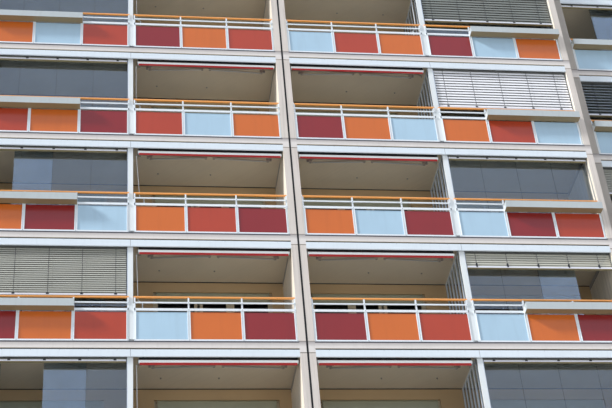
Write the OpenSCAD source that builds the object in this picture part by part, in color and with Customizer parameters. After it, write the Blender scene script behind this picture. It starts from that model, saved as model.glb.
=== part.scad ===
// Apartment block of precast concrete panels, with open and glazed loggias on its front.
// +Z is up, the front looks towards -Y, and the origin lies on the ground under the block's centre.

/* [Block] */
// Height of one storey, floor to floor
storey_h = 2800; // [2700:10:3100]
// Number of storeys
storeys = 11; // [3:1:12]
// Number of sections, each of two mirrored bays
sections = 2; // [1:1:2]
// Height of the ground floor above the ground
ground_floor_z = 1000; // [700:10:1400]
// Depth of each section, front face to rear face
block_d = 12000; // [9000:50:14000]
// How far the second section stands back from the first
set_back = 320; // [0:10:1200]

/* [Concrete] */
// Clear width of a bay between its cross walls
bay_clear_w = 6985; // [6600:5:7400]
// Thickness of a cross wall
wall_t = 155; // [120:5:200]
// Thickness of a gable wall
gable_t = 290; // [220:5:360]
// Open joint between neighbouring bays
joint_w = 25; // [10:1:50]
// Thickness of the floor slabs
slab_t = 163; // [140:1:220]
// How far a slab's bearing rib reaches below the slab
rib_drop = 100; // [40:5:140]
// Thickness of the facade walls
facade_t = 200; // [160:5:300]
// Depth of the loggias
loggia_d = 1650; // [1300:10:2200]
// Joint between neighbouring facade panels
panel_gap = 12; // [6:1:25]
// Chamfer on the front corners of a cross wall
chamfer = 10; // [4:1:20]
// Thickness of the raft under the plinth
raft_t = 200; // [120:10:400]
// How far the parapet's cap stands over it
cap_over = 20; // [0:5:50]
// Thickness of the parapet's cap
cap_t = 30; // [10:2:60]
// Height of the roof parapet above the roof slab
parapet_h = 600; // [300:10:1000]
// Thickness of the roof parapet
parapet_t = 180; // [120:5:240]

/* [Loggia front] */
// Height of the folded sheet band under each slab edge
band_h = 167; // [120:1:220]
// Shadow gap between the slab and the band
band_gap = 38; // [20:1:60]
// Depth of the band's lower lip
band_lip = 35; // [25:1:50]
// Thickness of the band's sheet
band_sheet = 4; // [2:0.5:6]
// Width of the post between the two loggias of a bay
mid_post_w = 115; // [80:5:160]
// Depth of the post between the two loggias of a bay
mid_post_d = 60; // [40:5:80]
// Distance of that post from the bay's centre, towards the glazed loggia
mid_post_off = 20; // [0:1:30]
// Width of a railing post
rail_post_w = 35; // [25:1:50]
// Depth of a railing post
rail_post_d = 40; // [30:1:60]
// Depth of the rails, which run across the front of the posts
rail_d = 20; // [12:1:40]
// Gap from the wall to the first railing post
rail_end_gap = 5; // [2:1:30]
// Distance of the two middle railing posts from the bay's centre
twin_post_off = 68; // [45:1:90]
// Gap between the slab and the sill rail
sill_rail_z = 5; // [3:1:20]
// Height of the sill rail
sill_rail_h = 40; // [30:5:60]
// Height of the top of the infill panels above the floor
panel_top = 734; // [600:2:800]
// Gap round an infill panel
panel_play = 12; // [4:1:20]
// Thickness of an infill panel
infill_t = 12; // [8:1:20]
// Underside of the rail above the infill panels, above the floor
top_rail_z = 760; // [740:5:860]
// Height of the rail above the infill panels
top_rail_h = 55; // [30:5:70]
// Underside of the thin rail, above the floor
mid_rail_z = 945; // [930:5:1000]
// Height of the thin rail
mid_rail_h = 32; // [20:2:50]
// Height of the handrail's centre above the floor
handrail_z = 1115; // [1080:5:1200]
// Diameter of the handrail
handrail_d = 52; // [40:1:70]

/* [Planters] */
// Height of a planter trough
planter_h = 180; // [120:5:240]
// Depth of a planter trough, front to back
planter_d = 190; // [140:5:260]
// Thickness of the trough's sheet
planter_sheet = 5; // [3:0.5:8]
// Height of the trough's underside above the floor
planter_z = 740; // [700:5:900]

/* [Awnings] */
// Gap between the side wall and the awning
awning_wall_gap = 35; // [20:5:120]
// Gap between the awning and the post between the loggias
awning_post_gap = 110; // [60:5:160]
// Height of the awning's front bar
bar_h = 74; // [60:2:90]
// Depth of the awning's front bar
bar_d = 55; // [40:1:70]
// Gap between the band and the top of the front bar
bar_drop = 28; // [4:1:30]
// Diameter of the rolled cloth
roll_d = 92; // [60:2:100]
// Height of the cloth's valance under the front bar
valance_h = 60; // [20:2:60]
// Side of the square tube that carries the arms
tube = 40; // [30:1:50]
// Width of a folded arm's limbs
arm_w = 34; // [24:1:44]
// Height of a folded arm's limbs
arm_h = 28; // [20:1:36]
// Distance of each arm's shoulder from the awning's end
shoulder_u = 300; // [150:10:500]
// Gap between the two folded elbows
elbow_gap = 130; // [80:10:300]
// Length of the hanging crank rod
crank_l = 1450; // [1100:10:1500]
// Diameter of the hanging crank rod
crank_d = 14; // [8:1:20]

/* [Blinds] */
// Depth of the blind's head box
blind_d = 80; // [60:1:90]
// Pitch of the slats
slat_pitch = 75; // [60:1:90]
// How far a closed slat leans forward from its top edge to its bottom edge
slat_lean = 28; // [15:1:45]
// Thickness of a slat
slat_t = 5; // [3:0.5:8]
// Height of the blind's bottom bar
blind_bar_h = 32; // [20:1:45]
// Height of the packed slats under the head when a blind is up
blind_pack_h = 60; // [40:5:120]
// Gap between a lowered blind and the handrail
blind_low_gap = 25; // [10:5:120]

/* [Glazing] */
// Distance of the sliding glass's tracks behind the slab edge
track_y = 225; // [160:5:400]
// Depth of the glazing's tracks
track_d = 46; // [40:1:70]
// Thickness of the glass panes
glass_t = 10; // [6:1:16]
// Height of the glazing's floor and ceiling tracks
track_h = 45; // [30:5:80]
// Panes in one glazed loggia
panes = 4; // [3:1:5]

/* [Partitions] */
// Thickness of the glazed partitions between loggias
part_t = 40; // [30:1:60]
// Width of a partition's bars
part_bar = 45; // [30:1:70]
// Glass fields in a partition, side by side
part_fields = 3; // [1:1:3]

/* [Windows] */
// Height of the loggia windows' heads above the floor
window_head = 2360; // [2200:10:2450]
// Distance of a loggia's window group from its side wall
window_u = 265; // [200:5:500]
// Width of a loggia's window group, balcony door included
window_group_w = 2700; // [2300:10:2900]
// Width of the balcony door in it
balcony_door_w = 1005; // [800:5:1100]
// Height of the sills of the front windows above the floor
sill_z = 860; // [700:10:1000]
// Thickness of the windows' glass unit
window_t = 24; // [16:2:40]
// Depth of the reveal in front of the windows
reveal_d = 90; // [40:5:120]
// Height of the rear windows' heads above the floor
rear_head = 2290; // [2100:10:2400]
// Width of a rear window
rear_window_w = 1500; // [1000:10:2000]
// Height of a rear window
rear_window_h = 1400; // [1000:10:1450]
// Width of a stair window
stair_window_w = 900; // [600:10:1400]
// Height of a stair window
stair_window_h = 1000; // [600:10:1200]
// Height of a stair window's sill above its storey's floor
stair_window_z = 1150; // [1000:10:1250]

/* [Entrances] */
// Clear width of an entrance door opening
door_w = 1400; // [1000:10:1800]
// Clear height of an entrance door opening
door_h = 2250; // [2050:10:2400]
// Risers of the entrance stair
risers = 6; // [4:1:8]
// Depth of one step
tread_d = 300; // [260:5:340]
// Depth of the entrance landing
landing_d = 1300; // [1000:10:1800]
// Width of the entrance stair and its landing
stair_w = 2200; // [1800:50:2800]
// Joint between neighbouring steps
step_joint = 3; // [2:1:6]
// Height of the landing's railings
entrance_rail_h = 940; // [850:10:1100]
// Side of the square tubes of the landing's railings
entrance_tube = 40; // [30:1:60]
// Width of the canopy over an entrance
canopy_w = 2600; // [2000:50:3200]
// Thickness of the canopy
canopy_t = 120; // [80:5:160]
// Distance of the canopy over the door's head
canopy_rise = 150; // [60:10:200]

/* [Lift housings] */
// Width of a lift housing on the roof
lift_w = 3200; // [2400:50:4200]
// Depth of a lift housing
lift_d = 4200; // [3000:50:5200]
// Height of a lift housing above the roof slab
lift_h = 2300; // [1800:50:3000]
// Distance of a lift housing from its section's middle wall
lift_side = 300; // [100:50:1000]
// Distance of a lift housing from the rear face
lift_rear = 1500; // [800:50:3000]
// How far a lift housing's roof stands out
lift_eaves = 100; // [50:10:200]
// Thickness of a lift housing's roof
lift_roof_t = 140; // [100:5:200]

/* [Hidden] */

bays = 2 * sections;
clear_h = storey_h - slab_t;
band_z = clear_h - band_gap - band_h;
roof_z = ground_floor_z + storeys * storey_h;

// Wall to the left and to the right of a bay, seen from the front
function left_wall(i) = i % 2 == 0 ? gable_t : wall_t;
function right_wall(i) = i == bays - 1 ? gable_t : wall_t;
// Left edge of a bay's clear width, from the block's left face
function bay_left(i) = i == 0
    ? left_wall(0)
    : bay_left(i - 1) + bay_clear_w + right_wall(i - 1) + joint_w + left_wall(i);
total_w = bay_left(bays - 1) + bay_clear_w + right_wall(bays - 1);
total_d = block_d + (sections - 1) * set_back;
function bay_x(i) = bay_left(i) - total_w / 2;
function bay_y(i) = floor(i / 2) * set_back - total_d / 2;
function floor_z(n) = ground_floor_z + n * storey_h;

// Colours of the infill panels, as seen from left to right: O orange, R red, B burgundy, S sky blue
scheme = [
    ["OSRBOR", "SROBSO", "SBORSB", "ORSBOR"],
    ["ROBRSO", "BOSORS", "SORBOS", "RSBOBS"],
    ["OBSORB", "OSBSBR", "BOSRBO", "SROBSO"],
    ["BORSOB", "BORSOB", "RSBOSR", "BOSROB"]
];
// Storey that shows the scheme's first row
scheme_storey = 9;
function scheme_row(n) = (scheme_storey + 3 * len(scheme) - n) % len(scheme);
function panel_letter(n, i, k) = scheme[scheme_row(n)][i % 4][i % 2 == 1 ? k : 5 - k];

// How far each blind is down, in ninths of its full drop, from the ground floor up
blind_rows = ["0030", "0300", "5000", "0030", "0050", "0090", "9303", "0060", "0980", "0809", "5030", "0900"];
function digit(rows, n, i) = ord(rows[n % len(rows)][i % 4]) - ord("0");
// The pane that stands slid open behind its neighbour in each glazed loggia, 0 for none
pane_rows = ["0000", "4000", "0030", "0004", "0200", "3000", "0400", "4000", "0000", "0040", "0400", "0003"];

// How far each crank rod leans towards its loggia, in half degrees, from the ground floor up; 9 for none
crank_rows = ["1923", "0490", "3910", "0209", "2940", "1930", "3929", "7936", "0917", "2090", "3190", "0029"];

// Places across a bay, from the wall beside the open loggia
centre_u = bay_clear_w / 2;
mid_u = centre_u + mid_post_off;
first_post_u = rail_end_gap + rail_post_w / 2;
post_pitch = (centre_u - twin_post_off - first_post_u) / 3;
function post_u(k) = k < 4
    ? first_post_u + k * post_pitch
    : bay_clear_w - first_post_u - (7 - k) * post_pitch;
glazed_u = mid_u + mid_post_w / 2;
glazed_w = bay_clear_w - glazed_u;
open_w = mid_u - mid_post_w / 2;

// Places from the front face, front to back
rail_back_y = rail_d + rail_post_d;
post_back_y = rail_back_y + mid_post_d;
blind_y = rail_back_y + 4;

module each_bay() {
    for (i = [0 : bays - 1]) {
        $bay = i;
        translate([bay_x(i), bay_y(i), 0])
            if (i % 2 == 1) children();
            else translate([bay_clear_w, 0, 0]) mirror([1, 0, 0]) children();
    }
}

module each_storey() {
    for (n = [0 : storeys - 1]) {
        $storey = n;
        translate([0, 0, floor_z(n)]) children();
    }
}

module each_loggia_bay() {
    each_bay() each_storey() children();
}

// Concrete

module raft() {
    color("dimgray")
        for (s = [0 : sections - 1]) {
            x0 = bay_x(2 * s) - left_wall(2 * s);
            x1 = bay_x(2 * s + 1) + bay_clear_w + right_wall(2 * s + 1);
            translate([x0, bay_y(2 * s), 0]) cube([x1 - x0, block_d, raft_t]);
        }
}

// Storey-high wall with chamfered front corners, its front face at y 0
module wall_leaf(t, d, h) {
    rotate([90, 0, 90])
        linear_extrude(t)
            polygon([[chamfer, 0], [d, 0], [d, h], [chamfer, h], [0, h - chamfer], [0, chamfer]]);
}

module plinth_walls() {
    h = ground_floor_z - slab_t - raft_t;
    w = bay_clear_w - 2 * panel_gap;
    color("darkgray")
        for (i = [0 : bays - 1])
            translate([bay_x(i), bay_y(i), raft_t]) {
                translate([-left_wall(i), 0, 0]) cube([left_wall(i), block_d, h - rib_drop]);
                translate([bay_clear_w, 0, 0]) cube([right_wall(i), block_d, h - rib_drop]);
                translate([panel_gap, 0, 0]) cube([w, wall_t, h]);
                translate([panel_gap, loggia_d, 0]) cube([w, facade_t, h]);
                translate([panel_gap, block_d - facade_t, 0]) cube([w, facade_t, h]);
            }
}

// Cross walls and gable walls stand between the slabs' bearing ribs
module storey_walls(gables) {
    h = clear_h - rib_drop;
    for (i = [0 : bays - 1], n = [0 : storeys - 1]) {
        translate([bay_x(i), bay_y(i), floor_z(n)]) {
            if ((left_wall(i) == gable_t) == gables)
                translate([-left_wall(i), 0, 0]) wall_leaf(left_wall(i), block_d, h);
            if ((right_wall(i) == gable_t) == gables)
                translate([bay_clear_w, 0, 0]) wall_leaf(right_wall(i), block_d, h);
        }
    }
}

module cross_walls() {
    color("tan") storey_walls(false);
}

module gable_walls() {
    color("wheat") storey_walls(true);
}

// Slab with a deeper bearing rib over each wall, from y0 to y1
module ribbed_slab(i, y0, y1) {
    l = left_wall(i);
    r = right_wall(i);
    w = bay_clear_w;
    translate([0, y1, 0]) rotate([90, 0, 0])
        linear_extrude(y1 - y0)
            polygon([
                [-l, 0], [-l, -slab_t - rib_drop], [0, -slab_t - rib_drop], [0, -slab_t],
                [w, -slab_t], [w, -slab_t - rib_drop], [w + r, -slab_t - rib_drop], [w + r, 0]
            ]);
}

module floor_slabs() {
    color("gainsboro")
        for (i = [0 : bays - 1], n = [0 : storeys])
            translate([bay_x(i), bay_y(i), floor_z(n)])
                ribbed_slab(i, loggia_d, n == storeys ? block_d : block_d - facade_t);
}

module loggia_slabs() {
    color("lightgray")
        for (i = [0 : bays - 1], n = [0 : storeys])
            translate([bay_x(i), bay_y(i), floor_z(n)]) ribbed_slab(i, 0, loggia_d - panel_gap);
}

// Window group behind each loggia: windows over a parapet, and a balcony door beside them
group_u1 = window_u + window_group_w;
group_door_u = group_u1 - balcony_door_w;

module mirrored_pair() {
    children();
    translate([bay_clear_w, 0, 0]) mirror([1, 0, 0]) children();
}

module group_outline() {
    polygon([
        [group_door_u, 0], [group_door_u, sill_z], [window_u, sill_z],
        [window_u, window_head], [group_u1, window_head], [group_u1, 0]
    ]);
}

module loggia_rear_walls() {
    w = centre_u - panel_gap / 2;
    color("burlywood")
        each_loggia_bay() mirrored_pair()
            translate([0, loggia_d + facade_t, 0]) rotate([90, 0, 0])
                linear_extrude(facade_t)
                    polygon([
                        [0, 0], [group_door_u, 0], [group_door_u, sill_z], [window_u, sill_z],
                        [window_u, window_head], [group_u1, window_head], [group_u1, 0],
                        [w, 0], [w, clear_h], [0, clear_h]
                    ]);
}

module loggia_windows() {
    color("darkslategray")
        each_loggia_bay() mirrored_pair()
            translate([0, loggia_d + reveal_d + window_t, 0]) rotate([90, 0, 0])
                linear_extrude(window_t) group_outline();
}

// Rear facade: two panels a bay, and the stair beside each section's middle joint

function rear_panel_u(k) = k * (bay_clear_w + panel_gap) / 2;
rear_panel_w = (bay_clear_w - panel_gap) / 2;
rear_mid = rear_panel_w / 2;
rear_sill = rear_head - rear_window_h;
stair_panel = 0;

module each_rear_panel() {
    each_loggia_bay()
        for (k = [0, 1]) {
            $stair = $bay % 2 == 0 && k == stair_panel;
            translate([rear_panel_u(k), block_d, 0]) rotate([90, 0, 0]) children();
        }
}

module rear_opening_2d() {
    if ($stair && $storey == 0) translate([rear_mid - door_w / 2, 0]) square([door_w, door_h]);
    else if ($stair)
        translate([rear_mid - stair_window_w / 2, stair_window_z]) square([stair_window_w, stair_window_h]);
    else translate([rear_mid - rear_window_w / 2, rear_sill]) square([rear_window_w, rear_window_h]);
}

module rear_wall_panels() {
    color("tan")
        each_rear_panel()
            linear_extrude(facade_t)
                difference() {
                    z0 = $storey == 0 ? 0 : panel_gap - slab_t;
                    translate([0, z0]) square([rear_panel_w, clear_h - z0]);
                    rear_opening_2d();
                }
}

module rear_windows() {
    color("darkslategray")
        each_rear_panel()
            if (!$stair) translate([0, 0, reveal_d]) linear_extrude(window_t) rear_opening_2d();
}

module stair_windows() {
    color("darkslategray")
        each_rear_panel()
            if ($stair && $storey > 0)
                translate([0, 0, reveal_d]) linear_extrude(window_t) rear_opening_2d();
}

// Loggia fronts

// Sheet band, folded to a lip below and hung from the slab by its upper fold
band_hem = 30;

module edge_bands() {
    top = band_h + band_gap;
    t = band_sheet;
    color("lightsteelblue")
        each_loggia_bay()
            translate([0, 0, band_z]) rotate([90, 0, 90])
                linear_extrude(bay_clear_w)
                    polygon([
                        [0, 0], [band_lip, 0], [band_lip, t], [t, t], [t, band_h - t],
                        [band_hem, band_h - t], [band_hem, top], [band_hem - t, top],
                        [band_hem - t, band_h], [0, band_h]
                    ]);
}

module mid_posts() {
    color("aliceblue")
        each_loggia_bay()
            translate([mid_u - mid_post_w / 2, rail_back_y, 0]) cube([mid_post_w, mid_post_d, clear_h]);
}

// Glazed partition between the two loggias of a bay
part_d = loggia_d - post_back_y;
field_w = (part_d - (part_fields + 1) * part_bar) / part_fields;
function field_y(k) = part_bar + k * (field_w + part_bar);

module partition_frames() {
    color("white")
        each_loggia_bay()
            translate([mid_u - part_t / 2, post_back_y, 0])
                rotate([90, 0, 90]) linear_extrude(part_t)
                    difference() {
                        square([part_d, clear_h]);
                        for (k = [0 : part_fields - 1])
                            translate([field_y(k), part_bar]) square([field_w, clear_h - 2 * part_bar]);
                    }
}

module partition_glass() {
    color("lightcyan")
        each_loggia_bay()
            for (k = [0 : part_fields - 1])
                translate([mid_u - glass_t / 2, post_back_y + field_y(k), part_bar])
                    cube([glass_t, field_w, clear_h - 2 * part_bar]);
}

handrail_flat = 6;
panel_inset = 4;
panel_z = sill_rail_z + sill_rail_h + panel_play;
rail_post_h = handrail_z - handrail_d / 2 + handrail_flat;

module railing_posts() {
    color("whitesmoke")
        each_loggia_bay()
            for (k = [0 : 7])
                translate([post_u(k) - rail_post_w / 2, rail_d, 0])
                    cube([rail_post_w, rail_post_d, rail_post_h]);
}

module railing_rails() {
    color("whitesmoke")
        each_loggia_bay()
            for (side = [0, 1]) {
                u0 = post_u(4 * side) - rail_post_w / 2;
                u1 = post_u(4 * side + 3) + rail_post_w / 2;
                for (rail = [[sill_rail_z, sill_rail_h], [top_rail_z, top_rail_h], [mid_rail_z, mid_rail_h]])
                    translate([u0, 0, rail[0]]) cube([u1 - u0, rail_d, rail[1]]);
            }
}

// Narrow infill between the two middle posts
module post_strips() {
    u0 = post_u(3) + rail_post_w / 2;
    u1 = post_u(4) - rail_post_w / 2;
    color("lightsteelblue")
        each_loggia_bay()
            translate([u0, rail_d + panel_inset, panel_z]) cube([u1 - u0, infill_t, mid_rail_z - panel_z]);
}

module handrails() {
    color("orange")
        each_loggia_bay()
            for (side = [0, 1]) {
                u0 = side == 0 ? 0 : post_u(4) - rail_post_w / 2;
                u1 = side == 0 ? post_u(3) + rail_post_w / 2 : bay_clear_w;
                translate([u0, rail_d + rail_post_d / 2, handrail_z])
                    rotate([90, 0, 90]) linear_extrude(u1 - u0)
                        difference() {
                            circle(d = handrail_d, $fn = 24);
                            translate([-handrail_d, -handrail_d / 2 - handrail_d + handrail_flat])
                                square([2 * handrail_d, handrail_d]);
                        }
            }
}

module infill_panels(letter) {
    each_loggia_bay()
        for (k = [0 : 5])
            if (panel_letter($storey, $bay, k) == letter) {
                p = k < 3 ? k : k + 1;
                u0 = post_u(p) + rail_post_w / 2;
                u1 = post_u(p + 1) - rail_post_w / 2;
                translate([u0, rail_d + panel_inset, panel_z]) cube([u1 - u0, infill_t, panel_top - panel_z]);
            }
}

module panels_orange() {
    color("chocolate") infill_panels("O");
}

module panels_red() {
    color("firebrick") infill_panels("R");
}

module panels_burgundy() {
    color("maroon") infill_panels("B");
}

module panels_blue() {
    color("lightblue") infill_panels("S");
}

// Planter troughs hang on the rails of the two outer panels of each glazed loggia
planter_post = 5;

module planter_boxes() {
    u0 = post_u(planter_post) - rail_post_w / 2;
    u1 = post_u(planter_post + 2) + rail_post_w / 2;
    color("lightsteelblue")
        each_loggia_bay()
            translate([u0, -planter_d, planter_z])
                difference() {
                    cube([u1 - u0, planter_d, planter_h]);
                    translate([planter_sheet, planter_sheet, planter_sheet])
                        cube([u1 - u0 - 2 * planter_sheet, planter_d - 2 * planter_sheet, planter_h]);
                }
}

// Sliding glass and blinds of the glazed loggias

track_u = mid_u + part_t / 2;
track_w = bay_clear_w - track_u;

module glazing_tracks() {
    color("silver")
        each_loggia_bay()
            for (z = [0, clear_h - track_h])
                translate([track_u, track_y, z]) cube([track_w, track_d, track_h]);
}

// The panes run in the track's front groove, and a slid one in its rear groove
pane_gap = 4;
front_groove = 8;
rear_groove = 28;

module glazing_panes() {
    w = track_w / panes;
    color("lightcyan")
        each_loggia_bay()
            for (k = [0 : panes - 1]) {
                slid = digit(pane_rows, $storey, $bay) == k + 1;
                place = slid ? (k > 0 ? k - 1 : 1) : k;
                groove = slid ? rear_groove : front_groove;
                translate([track_u + place * w + pane_gap / 2, track_y + groove, track_h])
                    cube([w - pane_gap, glass_t, clear_h - 2 * track_h]);
            }
}

blind_side_gap = 15;
blind_u0 = glazed_u + blind_side_gap;
blind_w = glazed_w - 2 * blind_side_gap;
blind_top = band_z - 10;
full_drop = blind_top - blind_bar_h - handrail_z - handrail_d / 2 - blind_low_gap;

module blind_heads() {
    color("lightgray")
        each_loggia_bay()
            translate([blind_u0, blind_y, blind_top]) cube([blind_w, blind_d, clear_h - blind_top]);
}

// Closed slats as a folded sheet: each leans forward down to its lower edge, then returns
function slat_front(n) = [for (k = [0 : n - 1], e = [0, 1])
    [e == 0 ? slat_lean : 0, -(k + e) * slat_pitch]];
function slat_back(n) = [for (k = [n - 1 : -1 : 0], e = [1, 0])
    [slat_t + (e == 0 ? slat_lean : 0), k + e == 0 ? 0 : slat_t - (k + e) * slat_pitch]];

module lowered_blind(n) {
    y0 = (blind_d - slat_lean - slat_t) / 2;
    translate([0, y0, 0]) rotate([90, 0, 90])
        linear_extrude(blind_w) polygon(concat(slat_front(n), slat_back(n)));
    translate([0, y0 - slat_t, -n * slat_pitch - blind_bar_h])
        cube([blind_w, slat_lean + 2 * slat_t, blind_bar_h + 2 * slat_t]);
}

module blind_slats() {
    color("silver")
        each_loggia_bay() {
            share = digit(blind_rows, $storey, $bay) / 9;
            n = floor(share * full_drop / slat_pitch);
            translate([blind_u0, blind_y, blind_top])
                if (n > 0) lowered_blind(n);
                else translate([0, 0, -blind_pack_h]) cube([blind_w, blind_d, blind_pack_h]);
        }
}

// Folding-arm awnings of the open loggias, folded up under the slab

awning_w = open_w - awning_wall_gap - awning_post_gap;
cheek_t = 12;
bar_y = rail_back_y + 20;
bar_back = bar_y + bar_d;
bar_top = band_z - bar_drop;
bar_z = bar_top - bar_h;
roll_y = bar_back + 40 + roll_d / 2;
roll_z = bar_top + 20 + roll_d / 2;
tube_y = roll_y + roll_d / 2 + 15;
arm_lap = 20;
arm_top = bar_z + arm_lap;

module each_awning() {
    each_loggia_bay() translate([awning_wall_gap, 0, 0]) children();
}

module awning_bars() {
    color("white")
        each_awning() translate([0, bar_y, bar_z]) cube([awning_w, bar_d, bar_h]);
}

// Rolled cloth, and its valance under the front bar
valance_inset = 25;
valance_t = 5;

module awning_cloths() {
    color("firebrick")
        each_awning() {
            translate([cheek_t, roll_y, roll_z]) rotate([0, 90, 0])
                cylinder(h = awning_w - 2 * cheek_t, d = roll_d, $fn = 24);
            translate([valance_inset, bar_y, bar_z - valance_h])
                cube([awning_w - 2 * valance_inset, valance_t, valance_h]);
        }
}

// End cheeks hang from the slab and carry the roll, the tube and the front bar; the gear sits on one
gear_w = 60;
gear_d = 70;
gear_play = 6;
gear_u = awning_w - cheek_t - gear_w;
gear_z = arm_top + gear_play;
gear_h = roll_z - roll_d / 2 - gear_play - gear_z;

module awning_brackets() {
    color("lightgray")
        each_awning() {
            for (u = [0, awning_w - cheek_t])
                translate([u, bar_back, arm_top]) cube([cheek_t, tube_y + tube - bar_back, clear_h - arm_top]);
            translate([gear_u, roll_y - gear_d / 2, gear_z]) cube([gear_w, gear_d, gear_h]);
        }
}

// Square tube with a shoulder casting under it for each arm
shoulder_w = 70;

module awning_tubes() {
    w = awning_w - 2 * cheek_t;
    e = shoulder_u - cheek_t - shoulder_w / 2;
    low = arm_top - roll_z + tube / 2;
    color("gray")
        each_awning()
            translate([cheek_t, tube_y + tube, roll_z - tube / 2]) rotate([90, 0, 0])
                linear_extrude(tube)
                    polygon([
                        [0, tube], [0, 0], [e, 0], [e, low], [e + shoulder_w, low], [e + shoulder_w, 0],
                        [w - e - shoulder_w, 0], [w - e - shoulder_w, low], [w - e, low], [w - e, 0],
                        [w, 0], [w, tube]
                    ]);
}

// Folded arm seen from above: from the shoulder in to the elbow, and back to the front bar
arm_l = awning_w / 2 - shoulder_u - elbow_gap / 2;
elbow_d = 1.8 * arm_w;
elbow_t = 10;
elbow_play = 0.3;

module folded_arm() {
    half = arm_w / 2;
    rear = tube_y + tube / 2 - bar_back;
    elbow_y = (rear + half) / 2;
    rise = (rear - half) / 2;
    s = shoulder_w / 2;
    crotch = (arm_l - half) * (1 - half / rise);
    translate([0, bar_back, arm_top - arm_h]) {
        linear_extrude(arm_h)
            polygon([
                [-s, rear + half], [-s, rear - half], [crotch, elbow_y], [-s, arm_w], [-s, 0], [s, 0],
                [arm_l, elbow_y - half], [arm_l, elbow_y + half]
            ]);
        translate([arm_l - elbow_d / 2, elbow_y, -elbow_t - elbow_play])
            cylinder(h = elbow_t, d = elbow_d, $fn = 24);
    }
}

module awning_arms() {
    color("gray")
        each_awning() {
            translate([shoulder_u, 0, 0]) folded_arm();
            translate([awning_w - shoulder_u, 0, 0]) mirror([1, 0, 0]) folded_arm();
        }
}

// Crank rod, hung in the gear's eye
crank_play = 0.5;

module awning_cranks() {
    color("whitesmoke")
        each_awning() {
            lean = digit(crank_rows, $storey, $bay);
            if (lean < 9)
                translate([gear_u + gear_w / 2, roll_y, gear_z - crank_play]) rotate([0, lean / 2, 0])
                    translate([0, 0, -crank_l]) cylinder(h = crank_l, d = crank_d, $fn = 16);
        }
}

// Roof

// Straight runs of the roof parapet: each bay's front and rear, and the outer sides of each section
module parapet_runs(over, h) {
    for (i = [0 : bays - 1]) {
        w = bay_clear_w + left_wall(i) + right_wall(i);
        translate([bay_x(i) - left_wall(i), bay_y(i), 0]) {
            translate([0, -over, 0]) cube([w, parapet_t + 2 * over, h]);
            translate([0, block_d - facade_t - over, 0]) cube([w, facade_t + 2 * over, h]);
            side_x = i % 2 == 0 ? 0 : w - parapet_t;
            translate([side_x, parapet_t + over + panel_gap, 0])
                cube([parapet_t, block_d - facade_t - parapet_t - 2 * over - 2 * panel_gap, h]);
        }
    }
}

module roof_parapets() {
    color("tan") translate([0, 0, roof_z]) parapet_runs(0, parapet_h);
}

module parapet_caps() {
    color("silver") translate([0, 0, roof_z + parapet_h]) parapet_runs(cap_over, cap_t);
}

module at_lifts() {
    for (s = [0 : sections - 1])
        translate([
            bay_x(2 * s) + bay_clear_w - lift_side - lift_w,
            bay_y(2 * s) + block_d - lift_rear - lift_d,
            roof_z
        ]) children();
}

module lift_housings() {
    color("tan")
        at_lifts()
            linear_extrude(lift_h)
                difference() {
                    square([lift_w, lift_d]);
                    translate([wall_t, wall_t]) square([lift_w - 2 * wall_t, lift_d - 2 * wall_t]);
                }
}

module lift_housing_roofs() {
    color("dimgray")
        at_lifts()
            translate([-lift_eaves, -lift_eaves, lift_h])
                cube([lift_w + 2 * lift_eaves, lift_d + 2 * lift_eaves, lift_roof_t]);
}

// Entrances at the rear

module at_entrances() {
    for (i = [0 : 2 : bays - 1])
        translate([
            bay_x(i) + bay_clear_w - rear_panel_u(stair_panel) - rear_panel_w / 2,
            bay_y(i) + block_d,
            ground_floor_z
        ]) children();
}

door_t = 60;

module entrance_doors() {
    color("white")
        at_entrances()
            translate([-door_w / 2, -2 * door_t, 0]) cube([door_w, door_t, door_h]);
}

module entrance_canopies() {
    color("silver")
        at_entrances()
            translate([-canopy_w / 2, 0, door_h + canopy_rise]) cube([canopy_w, landing_d, canopy_t]);
}

// Solid block steps, each down to the ground, and the landing as the innermost block
module entrance_steps() {
    riser = ground_floor_z / risers;
    color("darkgray")
        at_entrances()
            translate([-stair_w / 2, 0, -ground_floor_z]) {
                cube([stair_w, landing_d, ground_floor_z]);
                for (k = [1 : risers - 1])
                    translate([0, landing_d + (k - 1) * tread_d + step_joint, 0])
                        cube([stair_w, tread_d - step_joint, riser * (risers - k)]);
            }
}

module entrance_railings() {
    t = entrance_tube;
    inset = 20;
    color("silver")
        at_entrances()
            for (x = [-stair_w / 2 + inset, stair_w / 2 - inset - t])
                translate([x, 0, 0]) {
                    cube([t, t, entrance_rail_h - t]);
                    translate([0, landing_d - inset - t, 0]) cube([t, t, entrance_rail_h - t]);
                    translate([0, 0, entrance_rail_h - t]) cube([t, landing_d, t]);
                }
}

raft();
plinth_walls();
cross_walls();
gable_walls();
floor_slabs();
loggia_slabs();
loggia_rear_walls();
loggia_windows();
rear_wall_panels();
rear_windows();
stair_windows();
edge_bands();
mid_posts();
partition_frames();
partition_glass();
railing_posts();
railing_rails();
post_strips();
handrails();
panels_orange();
panels_red();
panels_burgundy();
panels_blue();
planter_boxes();
glazing_tracks();
glazing_panes();
blind_heads();
blind_slats();
awning_bars();
awning_cloths();
awning_brackets();
awning_tubes();
awning_arms();
awning_cranks();
roof_parapets();
parapet_caps();
lift_housings();
lift_housing_roofs();
entrance_doors();
entrance_canopies();
entrance_steps();
entrance_railings();
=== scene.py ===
import math

import bpy
from mathutils import Matrix, Vector


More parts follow.
